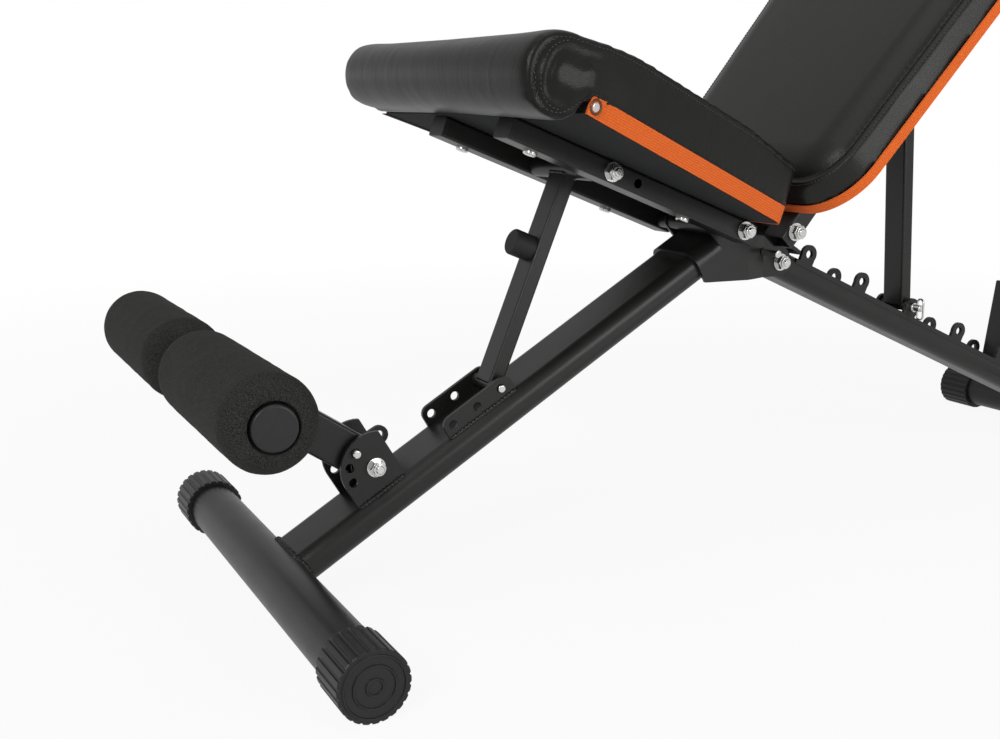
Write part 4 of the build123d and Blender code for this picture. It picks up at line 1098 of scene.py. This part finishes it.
def strut_weld(name, joint, hook, body):
    # bead where a strut's tube meets its cross sleeve
    top = joint_place(joint)
    run = box_centre(hook) - top
    along = Vector((run.x, 0, run.z)).normalized()
    across = Vector((0, 1, 0))
    deep = along.cross(across)
    w, h = STRUT_WIDE / 2, STRUT_DEEP / 2
    path = []
    for p in rounded_loop([(w, h), (-w, h), (-w, -h), (w, -h)], STRUT_CORNER, 4):
        path.append(top + across * p.x + deep * p.y + along * math.sqrt(SLEEVE_R**2 - p.y**2))
    weld_bead(name, path, body, STRUT_BEAD, True)


strut_weld("seat_strut_weld", "seat_strut_swing", "seat_strut_hook", "seat_strut")
strut_weld("back_strut_weld", "back_strut_swing", "back_strut_hook", "back_strut")

# Camera


def aim_camera():
    heading, down, roll = (math.radians(x) for x in (CAMERA_HEADING, CAMERA_DOWN, CAMERA_ROLL))
    ahead = Vector(
        (math.sin(heading) * math.cos(down), math.cos(heading) * math.cos(down), -math.sin(down))
    )
    level = Vector((math.cos(heading), -math.sin(heading), 0))
    above = level.cross(ahead)
    right = level * math.cos(roll) + above * math.sin(roll)
    up = above * math.cos(roll) - level * math.sin(roll)
    data = bpy.data.cameras.new("camera")
    data.sensor_fit = "HORIZONTAL"
    data.sensor_width = 36.0
    data.lens = data.sensor_width * FOCAL_WIDTHS
    data.clip_start, data.clip_end = 0.05, 60.0
    camera = bpy.data.objects.new("camera", data)
    scene.collection.objects.link(camera)
    turn = Matrix((right, up, -ahead)).transposed().to_4x4()
    camera.matrix_world = Matrix.Translation(CAMERA_AT) @ turn
    scene.camera = camera


aim_camera()

# Floor, world and lamps


def seen_directly(tree):
    # white to camera and glass rays, a share of it to mirror rays
    path = node(tree, "ShaderNodeLightPath").outputs
    mirrored = maths(tree, "MULTIPLY", path["Is Glossy Ray"], MIRROR_SHARE)
    sum_rays = maths(tree, "ADD", path["Is Camera Ray"], mirrored)
    return maths(tree, "MINIMUM", maths(tree, "ADD", sum_rays, path["Is Transmission Ray"]), 1.0)


def white_floor():
    verts = [(-9, -9, 0), (9, -9, 0), (9, 9, 0), (-9, 9, 0)]
    material, tree, shader = new_material("pale floor", 0.9, 0.2)
    shader.inputs["Base Color"].default_value = (0.93, 0.93, 0.93, 1)
    glow = node(tree, "ShaderNodeEmission")
    blend = node(tree, "ShaderNodeMixShader")
    # the floor turns to plain white away from the bench, so that no horizon shows
    place = node(tree, "ShaderNodeTexCoord").outputs["Object"]
    away = node(tree, "ShaderNodeVectorMath", operation="LENGTH")
    tree.links.new(place, away.inputs[0])
    far = node(tree, "ShaderNodeMapRange")
    tree.links.new(away.outputs["Value"], far.inputs["Value"])
    for label, value in (("From Min", 0.9), ("From Max", 2.4), ("To Min", 0.92), ("To Max", 1.0)):
        far.inputs[label].default_value = value
    share = maths(tree, "MULTIPLY", seen_directly(tree), far.outputs["Result"])
    tree.links.new(share, blend.inputs["Fac"])
    tree.links.new(shader.outputs["BSDF"], blend.inputs[1])
    tree.links.new(glow.outputs["Emission"], blend.inputs[2])
    tree.links.new(blend.outputs["Shader"], tree.nodes["Material Output"].inputs["Surface"])
    floor = add_mesh("floor", verts, [(0, 1, 2, 3)], material, None, False)


def white_world():
    # white to the eye; as light it is white near the horizon, dim overhead and dimmer on the right,
    # like a studio with its soft walls on the left
    world = bpy.data.worlds.new("studio")
    scene.world = world
    world.use_nodes = True
    tree = world.node_tree
    sky = tree.nodes["Background"]
    sky.inputs["Color"].default_value = (1, 1, 1, 1)
    split = node(tree, "ShaderNodeSeparateXYZ")
    tree.links.new(node(tree, "ShaderNodeTexCoord").outputs["Generated"], split.inputs["Vector"])
    dim = node(tree, "ShaderNodeMapRange")
    tree.links.new(split.outputs["Z"], dim.inputs["Value"])
    for label, value in (("From Min", 0.02), ("From Max", 0.4), ("To Min", 1.0), ("To Max", 0.2)):
        dim.inputs[label].default_value = value
    rightward = maths(tree, "SUBTRACT", split.outputs["X"], split.outputs["Y"])
    side = maths(tree, "SUBTRACT", 0.7, maths(tree, "MULTIPLY", rightward, 0.21))
    light = maths(tree, "MULTIPLY", dim.outputs["Result"], side)
    tree.links.new(maths(tree, "MAXIMUM", seen_directly(tree), light), sky.inputs["Strength"])


def soft_lamp(name, place, target, size, power):
    data = bpy.data.lights.new(name, "AREA")
    data.shape = "DISK"
    data.size = size
    data.energy = power
    lamp = bpy.data.objects.new(name, data)
    scene.collection.objects.link(lamp)
    lamp.location = place
    lamp.rotation_mode = "QUATERNION"
    lamp.rotation_quaternion = (Vector(target) - Vector(place)).to_track_quat("-Z", "Y")


white_floor()
white_world()
soft_lamp("top_lamp", (-0.3, -0.3, 2.8), target=(0, 0, 0.3), size=2.0, power=11)
soft_lamp("left_lamp", (-2.4, -1.8, 1.9), target=(-0.2, 0, 0.3), size=1.4, power=38)
soft_lamp("right_lamp", (1.0, -2.8, 0.9), target=(0, 0, 0.3), size=1.4, power=26)

scene.view_settings.view_transform = "Standard"
